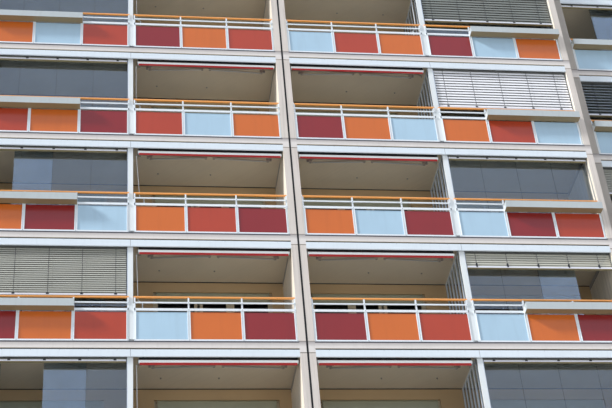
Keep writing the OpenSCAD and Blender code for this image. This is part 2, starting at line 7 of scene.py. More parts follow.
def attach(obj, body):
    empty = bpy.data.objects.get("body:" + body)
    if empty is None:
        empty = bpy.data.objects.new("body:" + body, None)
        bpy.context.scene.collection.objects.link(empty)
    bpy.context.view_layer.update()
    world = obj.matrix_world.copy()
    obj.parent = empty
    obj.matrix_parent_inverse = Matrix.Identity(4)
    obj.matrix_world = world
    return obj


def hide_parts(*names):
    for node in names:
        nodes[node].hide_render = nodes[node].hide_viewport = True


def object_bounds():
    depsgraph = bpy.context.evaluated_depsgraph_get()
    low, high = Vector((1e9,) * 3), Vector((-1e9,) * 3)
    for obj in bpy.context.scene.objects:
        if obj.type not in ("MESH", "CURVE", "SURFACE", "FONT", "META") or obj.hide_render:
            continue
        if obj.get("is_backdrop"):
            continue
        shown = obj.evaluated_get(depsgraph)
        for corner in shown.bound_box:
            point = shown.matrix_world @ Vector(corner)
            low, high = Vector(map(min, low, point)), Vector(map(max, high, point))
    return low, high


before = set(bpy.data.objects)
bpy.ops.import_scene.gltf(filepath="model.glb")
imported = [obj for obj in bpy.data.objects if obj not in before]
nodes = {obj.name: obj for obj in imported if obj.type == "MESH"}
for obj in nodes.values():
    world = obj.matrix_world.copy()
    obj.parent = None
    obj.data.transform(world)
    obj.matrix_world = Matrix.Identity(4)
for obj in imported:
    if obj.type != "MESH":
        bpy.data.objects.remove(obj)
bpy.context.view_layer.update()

# Layout of the block, in metres, as in the CAD

STOREY = 2.8
STOREYS = 11
GROUND_FLOOR = 1.0
SLAB = 0.163
RIB = 0.1
CLEAR = STOREY - SLAB
BAY = 6.985
WALL = 0.155
GABLE = 0.29
JOINT = 0.025
DEPTH = 12.0
SET_BACK = 0.32
LOGGIA = 1.65
REVEAL = 0.09
TOTAL_W = 29.66
TOTAL_D = DEPTH + SET_BACK

BAND_H = 0.167
BAND_Z = CLEAR - 0.038 - BAND_H
MID_POST = 0.115
MID_U = BAY / 2 + 0.02
GLAZED_U = MID_U + MID_POST / 2
OPEN_W = MID_U - MID_POST / 2
POST_W = 0.035
RAIL_D = 0.02
RAIL_BACK = 0.06
POST_BACK = 0.12
TOP_RAIL_Z, TOP_RAIL_H = 0.76, 0.055
MID_RAIL_Z, MID_RAIL_H = 0.945, 0.032
SILL_RAIL_TOP = 0.045
HANDRAIL_Z, HANDRAIL_D = 1.115, 0.052
PLANTER_D, PLANTER_H, PLANTER_Z = 0.19, 0.18, 0.74

WINDOW_HEAD, SILL = 2.36, 0.86
GROUP_U0, GROUP_U1, DOOR_U = 0.265, 2.965, 1.96
REAR_HEAD, REAR_W, REAR_H = 2.29, 1.5, 1.4
STAIR_W, STAIR_H, STAIR_Z = 0.9, 1.0, 1.15
PANEL_GAP = 0.012

TRACK_Y, TRACK_H = 0.225, 0.045
TRACK_U = MID_U + 0.02
PANES = 4
PANE_W = (BAY - TRACK_U) / PANES
PANE_GAP = 0.004
PANE_T = 0.01
GROOVES = (0.008, 0.028)

BLIND_U0, BLIND_U1 = GLAZED_U + 0.015, BAY - 0.015
BLIND_W = BLIND_U1 - BLIND_U0
BLIND_Y, BLIND_D = 0.064, 0.08
BLIND_TOP = BAND_Z - 0.01
BLIND_BAR = 0.032
BLIND_PACK = 0.06
BLIND_STEP = 0.075
FULL_DROP = BLIND_TOP - BLIND_BAR - HANDRAIL_Z - HANDRAIL_D / 2 - 0.025

AWNING_U = 0.035
AWNING_W = OPEN_W - AWNING_U - 0.11
AWNING_END = AWNING_U + AWNING_W
CHEEK = 0.012
BAR_Y, BAR_D, BAR_H = 0.08, 0.055, 0.074
BAR_BACK = BAR_Y + BAR_D
BAR_TOP = BAND_Z - 0.028
BAR_Z = BAR_TOP - BAR_H
ROLL_D = 0.092
ROLL_Y = BAR_BACK + 0.04 + ROLL_D / 2
ROLL_Z = BAR_TOP + 0.02 + ROLL_D / 2
TUBE = 0.04
TUBE_Y = ROLL_Y + ROLL_D / 2 + 0.015
ARM_TOP = BAR_Z + 0.02
ARM_W, ARM_H = 0.034, 0.028
SHOULDER_U = 0.3
ARM_L = AWNING_W / 2 - SHOULDER_U - 0.065
GEAR_Z = ARM_TOP + 0.006
GEAR_U = AWNING_W - CHEEK - 0.03
CRANK_L = 1.45
VALANCE_H = 0.06

# One digit a bay, storey by storey from the ground floor up, as in the CAD: ninths of a blind's full drop,
# half degrees of a crank's lean (9 for none), and the number of the slid pane (0 for none)
BLINDS = ("0030", "0300", "5000", "0030", "0050", "0090", "9303", "0060", "0980", "0809", "5030")
CRANKS = ("1923", "0490", "3910", "0209", "2940", "1930", "3929", "7936", "0917", "2090", "3190")
SLID_PANES = ("0000", "4000", "0030", "0004", "0200", "3000", "0400", "4000", "0000", "0040", "0400")

left_walls = [GABLE, WALL, GABLE, WALL]
right_walls = [WALL, WALL, WALL, GABLE]
bay_x = []
edge = -TOTAL_W / 2
for left, right in zip(left_walls, right_walls):
    bay_x.append(edge + left)
    edge += left + BAY + right + JOINT
bay_y = [(i // 2) * SET_BACK - TOTAL_D / 2 for i in range(4)]


def floor_z(storey):
    return GROUND_FLOOR + storey * STOREY


def post_u(k):
    """Middle of each of a bay's eight railing posts."""
    first = 0.005 + POST_W / 2
    pitch = (BAY / 2 - 0.068 - first) / 3
    return first + k * pitch if k < 4 else BAY - first - (7 - k) * pitch


def bay_place(bay, storey):
    """Takes a bay's own u, y, z to the block; every second bay is the mirror image."""
    if bay % 2:
        turn = Matrix.Identity(4)
        x = bay_x[bay]
    else:
        turn = Matrix.Diagonal((-1, 1, 1, 1))
        x = bay_x[bay] + BAY
    return Matrix.Translation((x, bay_y[bay], floor_z(storey))) @ turn


def shift(u=0.0, y=0.0, z=0.0):
    return Matrix.Translation((u, y, z))


ALL_PLACES = [(b, s) for s in range(STOREYS) for b in range(4)]
MIRRORED = shift(BAY) @ Matrix.Diagonal((-1, 1, 1, 1))

# Modelling helpers

EASE = 0.003


def deselect():
    if bpy.context.object and bpy.context.object.mode != "OBJECT":
        bpy.ops.object.mode_set(mode="OBJECT")
    bpy.ops.object.select_all(action="DESELECT")


def pick(piece):
    deselect()
    piece.select_set(True)
    bpy.context.view_layer.objects.active = piece


def apply_place(piece):
    pick(piece)
    bpy.ops.object.transform_apply(location=True, rotation=True, scale=True)
    return piece


def open_all():
    """Opens the active piece for editing, with all of it selected."""
    bpy.ops.object.mode_set(mode="EDIT")
    bpy.ops.mesh.select_all(action="SELECT")


def ease_edges(width):
    """Eases the selected edges, if there is a width to ease them by, and closes the piece."""
    if width:
        bpy.ops.mesh.bevel(offset=width, segments=1, affect="EDGES")
    bpy.ops.object.mode_set(mode="OBJECT")


def pull_out(by):
    """Pulls the selected outline to a solid or a strip, with its faces turned outwards."""
    bpy.ops.mesh.extrude_region_move(TRANSFORM_OT_translate={"value": by})
    bpy.ops.mesh.select_all(action="SELECT")
    bpy.ops.mesh.normals_make_consistent(inside=False)


def bar(low, high, ease=EASE):
    """Squared bar or sheet between two corners, with its edges eased."""
    deselect()
    low, high = Vector(low), Vector(high)
    bpy.ops.mesh.primitive_cube_add(size=1, location=(low + high) / 2)
    piece = bpy.context.object
    piece.scale = high - low
    apply_place(piece)
    open_all()
    ease_edges(ease)
    return piece


def ring(u0, u1, z0, z1, width, y0, y1, ease=EASE):
    """Rectangular frame in the plane of the facade: a plate, inset, opened and pulled to its depth."""
    deselect()
    bpy.ops.mesh.primitive_plane_add(size=1, location=((u0 + u1) / 2, y0, (z0 + z1) / 2),
                                     rotation=(math.pi / 2, 0, 0))
    piece = bpy.context.object
    piece.scale = (u1 - u0, z1 - z0, 1)
    apply_place(piece)
    open_all()
    bpy.ops.mesh.inset(thickness=width, use_even_offset=True)
    bpy.ops.mesh.delete(type="FACE")
    bpy.ops.mesh.select_all(action="SELECT")
    pull_out((0, y1 - y0, 0))
    ease_edges(ease)
    return piece


def rod(start, end, radius, sides=12, ease=0.25):
    """Round rod between two points, with its end rims eased by a share of its radius."""
    deselect()
    start, end = Vector(start), Vector(end)
    axis = end - start
    bpy.ops.mesh.primitive_cylinder_add(vertices=sides, radius=radius, depth=axis.length,
                                        location=(start + end) / 2,
                                        rotation=axis.to_track_quat("Z", "Y").to_euler())
    piece = apply_place(bpy.context.object)
    if ease:
        bpy.ops.object.mode_set(mode="EDIT")
        bpy.ops.mesh.select_mode(type="FACE")
        bpy.ops.mesh.select_all(action="DESELECT")
        bpy.ops.object.mode_set(mode="OBJECT")
        for face in piece.data.polygons:
            face.select = abs(face.normal.dot(axis.normalized())) > 0.9
        bpy.ops.object.mode_set(mode="EDIT")
        ease_edges(radius * ease)
    bpy.ops.object.shade_smooth_by_angle(angle=math.radians(40))
    return piece


def drawn(points, pull, closed=True):
    """Line drawn point by point, filled if it is closed, then pulled to a solid or a strip."""
    deselect()
    points = [Vector(p) for p in points]
    bpy.ops.mesh.primitive_plane_add(size=0.01, location=points[0])
    piece = apply_place(bpy.context.object)
    bpy.ops.object.mode_set(mode="EDIT")
    bpy.ops.mesh.select_mode(type="VERT")
    bpy.ops.mesh.select_all(action="SELECT")
    bpy.ops.mesh.merge(type="CENTER")
    for start, end in zip(points, points[1:]):
        bpy.ops.mesh.extrude_region_move(TRANSFORM_OT_translate={"value": end - start})
    bpy.ops.mesh.select_all(action="SELECT")
    if closed:
        bpy.ops.mesh.edge_face_add()
    pull_out(pull)
    bpy.ops.object.mode_set(mode="OBJECT")
    return piece


def profile(points, u0, u1):
    """Section given as (y, z) points, run along the bay from u0 to u1."""
    return drawn([(u0, y, z) for y, z in points], (u1 - u0, 0, 0))


def arrayed(piece, count, step):
    """Repeats a piece count times, each copy moved by step from the last."""
    pick(piece)
    rows = piece.modifiers.new("rows", "ARRAY")
    rows.count = count
    rows.use_relative_offset = False
    rows.use_constant_offset = True
    rows.constant_offset_displace = step
    bpy.ops.object.modifier_apply(modifier=rows.name)
    return piece


def joined(parts, name):
    deselect()
    for part in parts:
        part.select_set(True)
    bpy.context.view_layer.objects.active = parts[0]
    if len(parts) > 1:
        bpy.ops.object.join()
    piece = bpy.context.object
    piece.name = name
    piece.data.name = name
    return piece


def copy_at(piece, place):
    twin = piece.copy()
    twin.data = piece.data.copy()
    twin.data.transform(place)
    if place.determinant() < 0:
        twin.data.flip_normals()
    bpy.context.scene.collection.objects.link(twin)
    return twin


def set_out(parts, matrices):
    """Copies of one modelled unit, one at each place, with the unit itself removed."""
    unit = joined(parts, "unit")
    copies = [copy_at(unit, place) for place in matrices]
    bpy.data.objects.remove(unit)
    return copies


def finished(piece, material, stands_for=()):
    piece.data.materials.clear()
    piece.data.materials.append(material)
    for face in piece.data.polygons:
        face.material_index = 0
    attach(piece, "root")
    if stands_for:
        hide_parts(*stands_for)
    return piece


def placed(parts, matrices, name, material, stands_for=()):
    """Sets a copy of one unit at each place and joins the copies to one piece."""
    return finished(joined(set_out(parts, matrices), name), material, stands_for)


def spread(parts, name, material, places=ALL_PLACES, also_mirrored=False, stands_for=()):
    """Sets one bay's unit in each bay and storey, and its mirror image too where both loggias have it."""
    sides = [Matrix.Identity(4), MIRRORED] if also_mirrored else [Matrix.Identity(4)]
    matrices = [bay_place(bay, storey) @ side for bay, storey in places for side in sides]
    return placed(parts, matrices, name, material, stands_for)


# Shared effects, as node groups

COLOUR, FLOAT, VECTOR = "NodeSocketColor", "NodeSocketFloat", "NodeSocketVector"


def feed(tree, socket, source):
    """Links a socket to another node's output, or sets it to a plain value."""
    if isinstance(source, bpy.types.NodeSocket):
        tree.links.new(source, socket)
    else:
        socket.default_value = source


def node(tree, kind, inputs=None, **settings):
    """New node. Each input, by its number or name, is given an output to follow or a value."""
    item = tree.nodes.new(kind)
    for key, value in settings.items():
        setattr(item, key, value)
    for key, source in (inputs or {}).items():
        feed(tree, item.inputs[key], source)
    return item


def mix_colour(tree, factor, first, second, blend="MIX"):
    return node(tree, "ShaderNodeMix", {0: factor, 6: first, 7: second}, data_type="RGBA",
                blend_type=blend).outputs[2]


def maths(tree, operation, first, second=0.0):
    return node(tree, "ShaderNodeMath", {0: first, 1: second}, operation=operation).outputs[0]


def ramp(tree, source, low, high):
    return node(tree, "ShaderNodeMapRange", {0: source, 1: low, 2: high}).outputs[0]


def noise(tree, place, scale, detail):
    return node(tree, "ShaderNodeTexNoise", {"Vector": place, "Scale": scale, "Detail": detail}).outputs[0]


COLOUR_AND_MASK = {"Colour": COLOUR, "Mask": FLOAT}


def new_group(name, inputs, outputs=COLOUR_AND_MASK):
    """Empty group and its two ends. An input comes with its number to start from, or its kind of socket."""
    group = bpy.data.node_groups.new(name, "ShaderNodeTree")
    for label, start in inputs.items():
        numeric = isinstance(start, float)
        kind = FLOAT if numeric else start
        socket = group.interface.new_socket(name=label, in_out="INPUT", socket_type=kind)
        if numeric:
            socket.default_value = start
    for label, kind in outputs.items():
        group.interface.new_socket(name=label, in_out="OUTPUT", socket_type=kind)
    return group, group.nodes.new("NodeGroupInput").outputs, group.nodes.new("NodeGroupOutput").inputs


def put_out(group, enter, leave, mask, second):
    """Ends a group: its mask, and its colour with the second one mixed in by the mask."""
    group.links.new(mix_colour(group, mask, enter["Colour"], enter[second]), leave["Colour"])
    group.links.new(mask, leave["Mask"])


# Soft clouds of a second tone, as on painted concrete and old coatings
mottle, enter, leave = new_group(
    "mottle", {"Place": VECTOR, "Colour": COLOUR, "Second Colour": COLOUR, "Size": 1.0, "Amount": 0.3})
cloud = noise(mottle, enter["Place"], maths(mottle, "DIVIDE", 1.0, enter["Size"]), 5.0)
mask = maths(mottle, "MULTIPLY", ramp(mottle, cloud, 0.35, 0.72), enter["Amount"])
put_out(mottle, enter, leave, mask, "Second Colour")

# Narrow upright streaks that rain leaves on a wall or a sheet
streaks, enter, leave = new_group(
    "rain_streaks", {"Place": VECTOR, "Colour": COLOUR, "Dirt": COLOUR, "Width": 0.06, "Length": 1.6,
                     "Amount": 0.2})
x, y, z = node(streaks, "ShaderNodeSeparateXYZ", {0: enter["Place"]}).outputs
across = maths(streaks, "DIVIDE", maths(streaks, "ADD", x, y), enter["Width"])
down = maths(streaks, "DIVIDE", z, enter["Length"])
run = noise(streaks, node(streaks, "ShaderNodeCombineXYZ", {0: across, 1: down}).outputs[0], 1.0, 3.0)
mask = maths(streaks, "MULTIPLY", ramp(streaks, run, 0.5, 0.78), enter["Amount"])
put_out(streaks, enter, leave, mask, "Dirt")

# Fine grain for small changes of gloss
grain, enter, leave = new_group("grain", {"Place": VECTOR, "Size": 0.01, "Roughness": 0.5, "Spread": 0.1},
                                outputs={"Roughness": FLOAT})
fine = noise(grain, enter["Place"], maths(grain, "DIVIDE", 1.0, enter["Size"]), 4.0)
change = maths(grain, "MULTIPLY", maths(grain, "SUBTRACT", fine, 0.5), enter["Spread"])
grain.links.new(maths(grain, "ADD", enter["Roughness"], change), leave["Roughness"])

# Open joints between panels, every Spacing along a direction
panel_joints, enter, leave = new_group(
    "panel_joints", {"Place": VECTOR, "Along": VECTOR, "Colour": COLOUR, "Joint": COLOUR, "Spacing": 2.8,
                     "Start": 0.0, "Width": 0.012})
along = node(panel_joints, "ShaderNodeVectorMath", {0: enter["Place"], 1: enter["Along"]},
             operation="DOT_PRODUCT").outputs["Value"]
reach = maths(panel_joints, "SUBTRACT", along, enter["Start"])
past = maths(panel_joints, "FLOORED_MODULO", reach, enter["Spacing"])
put_out(panel_joints, enter, leave, maths(panel_joints, "LESS_THAN", past, enter["Width"]), "Joint")

# Painted shade that fades out downwards from each slab's top edge, under the flashing
slab_edge_shade, enter, leave = new_group(
    "slab_edge_shade", {"Place": VECTOR, "Colour": COLOUR, "Painted Shade": COLOUR, "Start": 0.0, "Spacing": 2.8,
                  "Depth": 0.1, "Amount": 0.5})
height = node(slab_edge_shade, "ShaderNodeSeparateXYZ", {0: enter["Place"]}).outputs[2]
drop = maths(slab_edge_shade, "SUBTRACT", enter["Start"], height)
below = maths(slab_edge_shade, "FLOORED_MODULO", drop, enter["Spacing"])
fade = maths(slab_edge_shade, "SUBTRACT", 1.0, maths(slab_edge_shade, "DIVIDE", below, enter["Depth"]))
mask = maths(slab_edge_shade, "MULTIPLY", maths(slab_edge_shade, "MAXIMUM", fade, 0.0), enter["Amount"])
put_out(slab_edge_shade, enter, leave, mask, "Painted Shade")


def srgb(red, green, blue):
    """Linear colour of an 8-bit screen colour."""
    out = []
    for value in (red, green, blue):
        value /= 255
        out.append(value / 12.92 if value <= 0.04045 else ((value + 0.055) / 1.055) ** 2.4)
    return (*out, 1.0)


def shade(colour, by):
    return (colour[0] * by, colour[1] * by, colour[2] * by, 1.0)


def new_material(name):
    """Material with its tree, its shader and the Object coordinates that every finish lies on."""
    material = bpy.data.materials.new(name)
    material.use_nodes = True
    tree = material.node_tree
    return material, tree, tree.nodes["Principled BSDF"], node(tree, "ShaderNodeTexCoord").outputs["Object"]


def laid_on(tree, group, place, colour, values):
    """A colour with one of the shared effects laid on it."""
    return node(tree, "ShaderNodeGroup", {"Place": place, "Colour": colour, **values},
                node_tree=group).outputs["Colour"]


def add_grain(tree, shader, place, size, rough, spread_rough):
    """Lets the shader's gloss follow the grain."""
    fine = node(tree, "ShaderNodeGroup", {"Place": place, "Size": size, "Roughness": rough,
                                          "Spread": spread_rough}, node_tree=grain)
    tree.links.new(fine.outputs["Roughness"], shader.inputs["Roughness"])


SECOND_TONE, COAT_ROUGH = 0.82, 0.1
# Colour of the painted shade under each slab's flashing
EDGE_SHADE_COLOUR = srgb(112, 104, 106)


def finish(name, colour, second=None, size=0.5, amount=0.3, dirt=None, dirt_width=0.06, dirt_length=1.6,
           dirt_amount=0.0, rough=0.4, spread_rough=0.12, metal=0.0, coat=0.0, grain_size=0.02,
           face_colours=None, joint_lines=(), shade_under_flashing=None):
    """Painted or coated finish: clouds of tone, rain streaks, grain. face_colours recolours faces by the
    way they look: 'down', 'up', 'side'. joint_lines holds (along, start, spacing, width, tone), and
    shade_under_flashing the values of the painted shade under each slab's flashing."""
    material, tree, shader, place = new_material(name)
    base = colour
    if face_colours:
        normal = node(tree, "ShaderNodeNewGeometry").outputs["Normal"]
        x, _, z = node(tree, "ShaderNodeSeparateXYZ", {0: normal}).outputs
        ways = {"down": ("LESS_THAN", z, -0.5), "up": ("GREATER_THAN", z, 0.5),
                "side": ("GREATER_THAN", maths(tree, "ABSOLUTE", x), 0.5)}
        for way, tone in face_colours.items():
            base = mix_colour(tree, maths(tree, *ways[way]), base, tone)
    if second is None and face_colours:
        second = mix_colour(tree, 1.0, base, (SECOND_TONE, SECOND_TONE, SECOND_TONE, 1), "MULTIPLY")
    elif second is None:
        second = shade(base, SECOND_TONE)
    result = laid_on(tree, mottle, place, base, {"Second Colour": second, "Size": size, "Amount": amount})
    if dirt_amount:
        result = laid_on(tree, streaks, place, result,
                         {"Dirt": dirt or shade(colour, 0.5), "Width": dirt_width, "Length": dirt_length,
                          "Amount": dirt_amount})
    # Painted shade fading down from each slab's top edge
    if shade_under_flashing:
        result = laid_on(tree, slab_edge_shade, place, result, {"Painted Shade": EDGE_SHADE_COLOUR, **shade_under_flashing})
    for along, start, spacing, width, tone in joint_lines:
        result = laid_on(tree, panel_joints, place, result,
                         {"Along": along, "Joint": shade(colour, tone), "Start": start, "Spacing": spacing,
                          "Width": width})
    add_grain(tree, shader, place, grain_size, rough, spread_rough)
    tree.links.new(result, shader.inputs["Base Color"])
    shader.inputs["Metallic"].default_value = metal
    shader.inputs["Coat Weight"].default_value = coat
    shader.inputs["Coat Roughness"].default_value = COAT_ROUGH
    return material


def glass(name, tint, rough=0.02, ior=1.5):
    """Window glass with a faint film of dust."""
    material, tree, shader, place = new_material(name)
    film = laid_on(tree, mottle, place, tint, {"Second Colour": shade(tint, 0.9), "Size": 0.8, "Amount": 0.5})
    tree.links.new(film, shader.inputs["Base Color"])
    add_grain(tree, shader, place, 0.4, rough, rough)
    shader.inputs["Transmission Weight"].default_value = 1.0
    shader.inputs["IOR"].default_value = ior
    return material


# Finishes

CONCRETE = srgb(220, 212, 205)
SOFFIT = srgb(226, 213, 188)
# Painted shade: the sun is strong on the left side, so what faces it there is given a greyer colour than the
# front
SUN_SIDE_PAINTED_SHADE = srgb(182, 177, 172)
# A strong joint under each slab's bearing rib and a faint one at each floor, then upright ones
level_lines = [((0, 0, 1), GROUND_FLOOR - SLAB - RIB - 0.022, STOREY, 0.022, 0.35),
               ((0, 0, 1), GROUND_FLOOR, STOREY, 0.018, 0.5)]
upright_lines = [((0, 1, 0), 4.0 - TOTAL_D / 2, 4.1, 0.02, 0.4)]
# Painted highlight: the walls' side faces, the cheeks of the loggias, take a lighter cream than the front
concrete_wall = finish("precast_wall_paint", CONCRETE, size=0.9, amount=0.4, dirt=srgb(150, 143, 136),
                       dirt_amount=0.35, rough=0.75, grain_size=0.008,
                       face_colours={"side": srgb(244, 234, 216)}, joint_lines=level_lines)
# The gable's colours are greyed as painted shade against the strong sun on that side
gable_wall = finish("gable_panel_painted_shade", SUN_SIDE_PAINTED_SHADE, second=srgb(164, 158, 152), size=1.6, amount=0.5,
                    dirt=srgb(140, 134, 128), dirt_amount=0.4, dirt_width=0.12, dirt_length=2.4, rough=0.8,
                    grain_size=0.008, joint_lines=level_lines + upright_lines)
# Painted shade: the slab edges darken towards their top edge, under the flashing
concrete_slab = finish("precast_slab_paint", srgb(228, 223, 220), size=0.7, dirt=srgb(140, 132, 126),
                       dirt_amount=0.08, dirt_length=0.5, rough=0.75, grain_size=0.008,
                       face_colours={"down": SOFFIT, "up": srgb(196, 190, 178), "side": SUN_SIDE_PAINTED_SHADE},
                       shade_under_flashing={"Start": GROUND_FLOOR, "Spacing": STOREY, "Depth": 0.13, "Amount": 0.6})
floor_concrete = finish("floor_slab_concrete", srgb(176, 172, 166), size=1.1, amount=0.4, rough=0.85,
                        grain_size=0.01)
render_wall = finish("loggia_render", srgb(196, 168, 128), size=0.9, amount=0.35, rough=0.9,
                     grain_size=0.006)
facade_panel = finish("aggregate_panel", srgb(214, 206, 194), second=srgb(178, 169, 156), size=0.035,
                      amount=0.6, dirt_amount=0.3, dirt=srgb(120, 114, 106), rough=0.9, grain_size=0.012)
plinth = finish("plinth_concrete", srgb(128, 124, 118), size=0.6, amount=0.5, dirt_amount=0.4, rough=0.9,
                grain_size=0.012)
white_paint = finish("white_railing_paint", srgb(234, 241, 246), size=0.4, amount=0.2, dirt_amount=0.12,
                     rough=0.35, coat=0.3)
post_paint = finish("post_cover_paint", srgb(230, 236, 238), amount=0.25, dirt_amount=0.12, rough=0.35,
                    coat=0.3)
band_sheet = finish("pale_blue_band_sheet", srgb(226, 236, 244), size=1.5, amount=0.25, dirt_amount=0.08,
                    dirt=srgb(150, 160, 172), dirt_length=0.4, rough=0.35, grain_size=0.05, coat=0.3)
handrail_paint = finish("orange_handrail_paint", srgb(252, 170, 84), rough=0.3, coat=0.6)
panel_finishes = {}
for key, colour in (("orange", (209, 106, 34)), ("red", (178, 62, 32)), ("burgundy", (138, 28, 26)),
                    ("blue", (176, 206, 226))):
    panel_finishes[key] = finish("panel_" + key + "_coating", srgb(*colour), size=0.8, dirt_amount=0.12,
                                 dirt_width=0.15, rough=0.35, spread_rough=0.08, grain_size=0.3, coat=0.25)
# Painted shade: the troughs' undersides take a brown shade colour
trough_sheet = finish("planter_sheet_coating", srgb(189, 197, 199), size=0.7, dirt_amount=0.1,
                      dirt=srgb(120, 110, 100), dirt_length=0.3, grain_size=0.05,
                      face_colours={"down": srgb(136, 120, 88)})
track_metal = finish("anodised_track", srgb(200, 204, 208), size=0.3, rough=0.35, metal=0.8, grain_size=0.01)
slat_tones = {}
for tone, colour, amount in (("white", (250, 251, 255), 0.2), ("grey", (186, 186, 176), 0.3),
                             ("pale", (204, 203, 190), 0.3), ("dim", (132, 135, 129), 0.3)):
    slat_tones[tone] = finish(tone + "_slat_coating", srgb(*colour), size=0.8, amount=amount)
# Painted shade: the open slats' undersides are darker than their tops
slat_tones["dark"] = finish("dark_slat_coating", srgb(130, 138, 146), size=0.8,
                            face_colours={"down": srgb(110, 118, 126)})
# Painted shade: the bottom bars' undersides are a darker olive than their fronts
foot_coating = finish("blind_bar_coating", srgb(228, 230, 240), amount=0.2,
                      face_colours={"down": srgb(152, 142, 108)})
# Painted shade: the blind heads are dark so that the line under each band reads as shade
head_shade_coating = finish("blind_head_painted_shade", srgb(84, 86, 84), size=0.6, rough=0.45)
black_plastic = finish("black_plastic", srgb(34, 34, 38), size=0.2, rough=0.5, grain_size=0.01)
rubber = finish("black_rubber", srgb(24, 24, 26), size=0.3, rough=0.85, grain_size=0.005)
cloth_red = finish("awning_cloth_red", srgb(184, 46, 46), size=0.3, amount=0.4, rough=0.85, grain_size=0.002)
bar_coating = finish("awning_bar_coating", srgb(254, 255, 255), size=0.4, amount=0.1, rough=0.35, coat=0.3)
arm_metal = finish("awning_arm_coating", srgb(178, 170, 154), size=0.3, metal=0.3, grain_size=0.01)
dark_casting = finish("dark_casting", srgb(158, 152, 144), size=0.2, amount=0.4, rough=0.5, metal=0.5,
                      grain_size=0.01)
steel = finish("galvanised_bolts", srgb(150, 152, 156), size=0.05, amount=0.4, metal=0.9, grain_size=0.01)
zinc = finish("cap_sheet", srgb(158, 162, 166), size=0.8, amount=0.5, dirt_amount=0.3, rough=0.45, metal=0.6)
# Painted shade: the flashing's dark grey stands in for the shadow under the sill rail
shade_dark_flashing = finish("slab_flashing_painted_shade", srgb(86, 84, 88), size=0.6, amount=0.5, dirt_amount=0.3, rough=0.5,
                        metal=0.4)
roof_felt = finish("roof_felt", srgb(78, 78, 80), amount=0.5, rough=0.95, grain_size=0.006)
door_coating = finish("door_coating", srgb(120, 126, 132), metal=0.4)
frame_paint = finish("window_frame_paint", srgb(196, 184, 158), size=0.4, rough=0.5, grain_size=0.01)
rear_frame_paint = finish("rear_frame_paint", srgb(224, 224, 220), size=0.4, rough=0.45, grain_size=0.01)
box_paint = finish("shutter_box_paint", srgb(170, 172, 148), rough=0.5, grain_size=0.01)
window_glass = glass("window_glass", (0.42, 0.46, 0.50, 1))
loggia_glass = glass("loggia_glass", (0.80, 0.90, 1.0, 1), ior=1.69)

node_finish = {
    "raft": plinth, "plinth_walls": plinth, "cross_walls": concrete_wall, "gable_walls": gable_wall,
    "floor_slabs": floor_concrete, "loggia_slabs": concrete_slab, "loggia_rear_walls": render_wall,
    "loggia_windows": window_glass, "rear_wall_panels": facade_panel, "rear_windows": window_glass,
    "stair_windows": window_glass, "edge_bands": band_sheet, "mid_posts": post_paint,
    "partition_frames": white_paint, "partition_glass": loggia_glass, "railing_posts": white_paint,
    "railing_rails": white_paint, "post_strips": post_paint, "handrails": handrail_paint,
    "panels_orange": panel_finishes["orange"], "panels_red": panel_finishes["red"],
    "panels_burgundy": panel_finishes["burgundy"], "panels_blue": panel_finishes["blue"],
    "planter_boxes": trough_sheet, "glazing_tracks": track_metal, "glazing_panes": loggia_glass,
    "blind_heads": head_shade_coating, "blind_slats": slat_tones["grey"], "awning_bars": white_paint,
    "awning_cloths": cloth_red, "awning_brackets": arm_metal, "awning_tubes": arm_metal,
    "awning_arms": arm_metal, "awning_cranks": white_paint, "roof_parapets": facade_panel,
    "parapet_caps": zinc, "lift_housings": facade_panel, "lift_housing_roofs": roof_felt,
    "entrance_doors": door_coating, "entrance_canopies": concrete_slab, "entrance_steps": plinth,
    "entrance_railings": arm_metal,
}
for name, cad in nodes.items():
    cad.data.materials.clear()
    cad.data.materials.append(node_finish[name])

# Windows and balcony doors at the back of the loggias

FRAME_Y0, FRAME_Y1 = LOGGIA + 0.045, LOGGIA + REVEAL
SASH_Y0, SASH_Y1 = LOGGIA + 0.03, LOGGIA + REVEAL - 0.004
SASH = 0.07
FRAME = 0.035
SASH_TOP = 2.3
sash_a = (GROUP_U0 + FRAME, 1.21)
sash_b = (1.25, 1.92)
sash_door = (DOOR_U + 0.012, GROUP_U1 - FRAME)
window_frames = [
    ring(GROUP_U0, DOOR_U, SILL, WINDOW_HEAD, FRAME, FRAME_Y0, FRAME_Y1),
    ring(DOOR_U - FRAME, GROUP_U1, 0.0, WINDOW_HEAD, FRAME, FRAME_Y0, FRAME_Y1),
    ring(*sash_a, SILL + FRAME, SASH_TOP, SASH, SASH_Y0, SASH_Y1),
    ring(*sash_b, SILL + FRAME, SASH_TOP, SASH, SASH_Y0, SASH_Y1),
    ring(*sash_door, FRAME, SASH_TOP, SASH, SASH_Y0, SASH_Y1),
    bar((sash_a[1], FRAME_Y0, SILL + FRAME), (sash_b[0], FRAME_Y1, WINDOW_HEAD - FRAME)),
    bar((sash_door[0] + SASH, SASH_Y0 + 0.01, 0.52), (sash_door[1] - SASH, SASH_Y1, 0.6)),
    bar((sash_door[0] + SASH, SASH_Y0 + 0.02, FRAME + SASH), (sash_door[1] - SASH, SASH_Y1, 0.52)),
]
spread(window_frames, "loggia_window_frames", frame_paint, also_mirrored=True)

BOX_Z = 2.06
shutter_boxes = [
    profile([(LOGGIA + 0.028, BOX_Z), (LOGGIA + 0.004, BOX_Z + 0.01), (LOGGIA - 0.008, BOX_Z + 0.09),
             (LOGGIA - 0.022, BOX_Z + 0.125), (LOGGIA - 0.022, BOX_Z + 0.235), (LOGGIA - 0.004, BOX_Z + 0.27),
             (LOGGIA + 0.028, WINDOW_HEAD)], GROUP_U0 + 0.075, GROUP_U1 - 0.075)]
for u in (GROUP_U0 + 0.07, GROUP_U1 - 0.08):
    shutter_boxes.append(bar((u, LOGGIA - 0.026, BOX_Z - 0.004), (u + 0.01, LOGGIA + 0.028, WINDOW_HEAD)))
spread(shutter_boxes, "loggia_shutter_boxes", box_paint, also_mirrored=True)

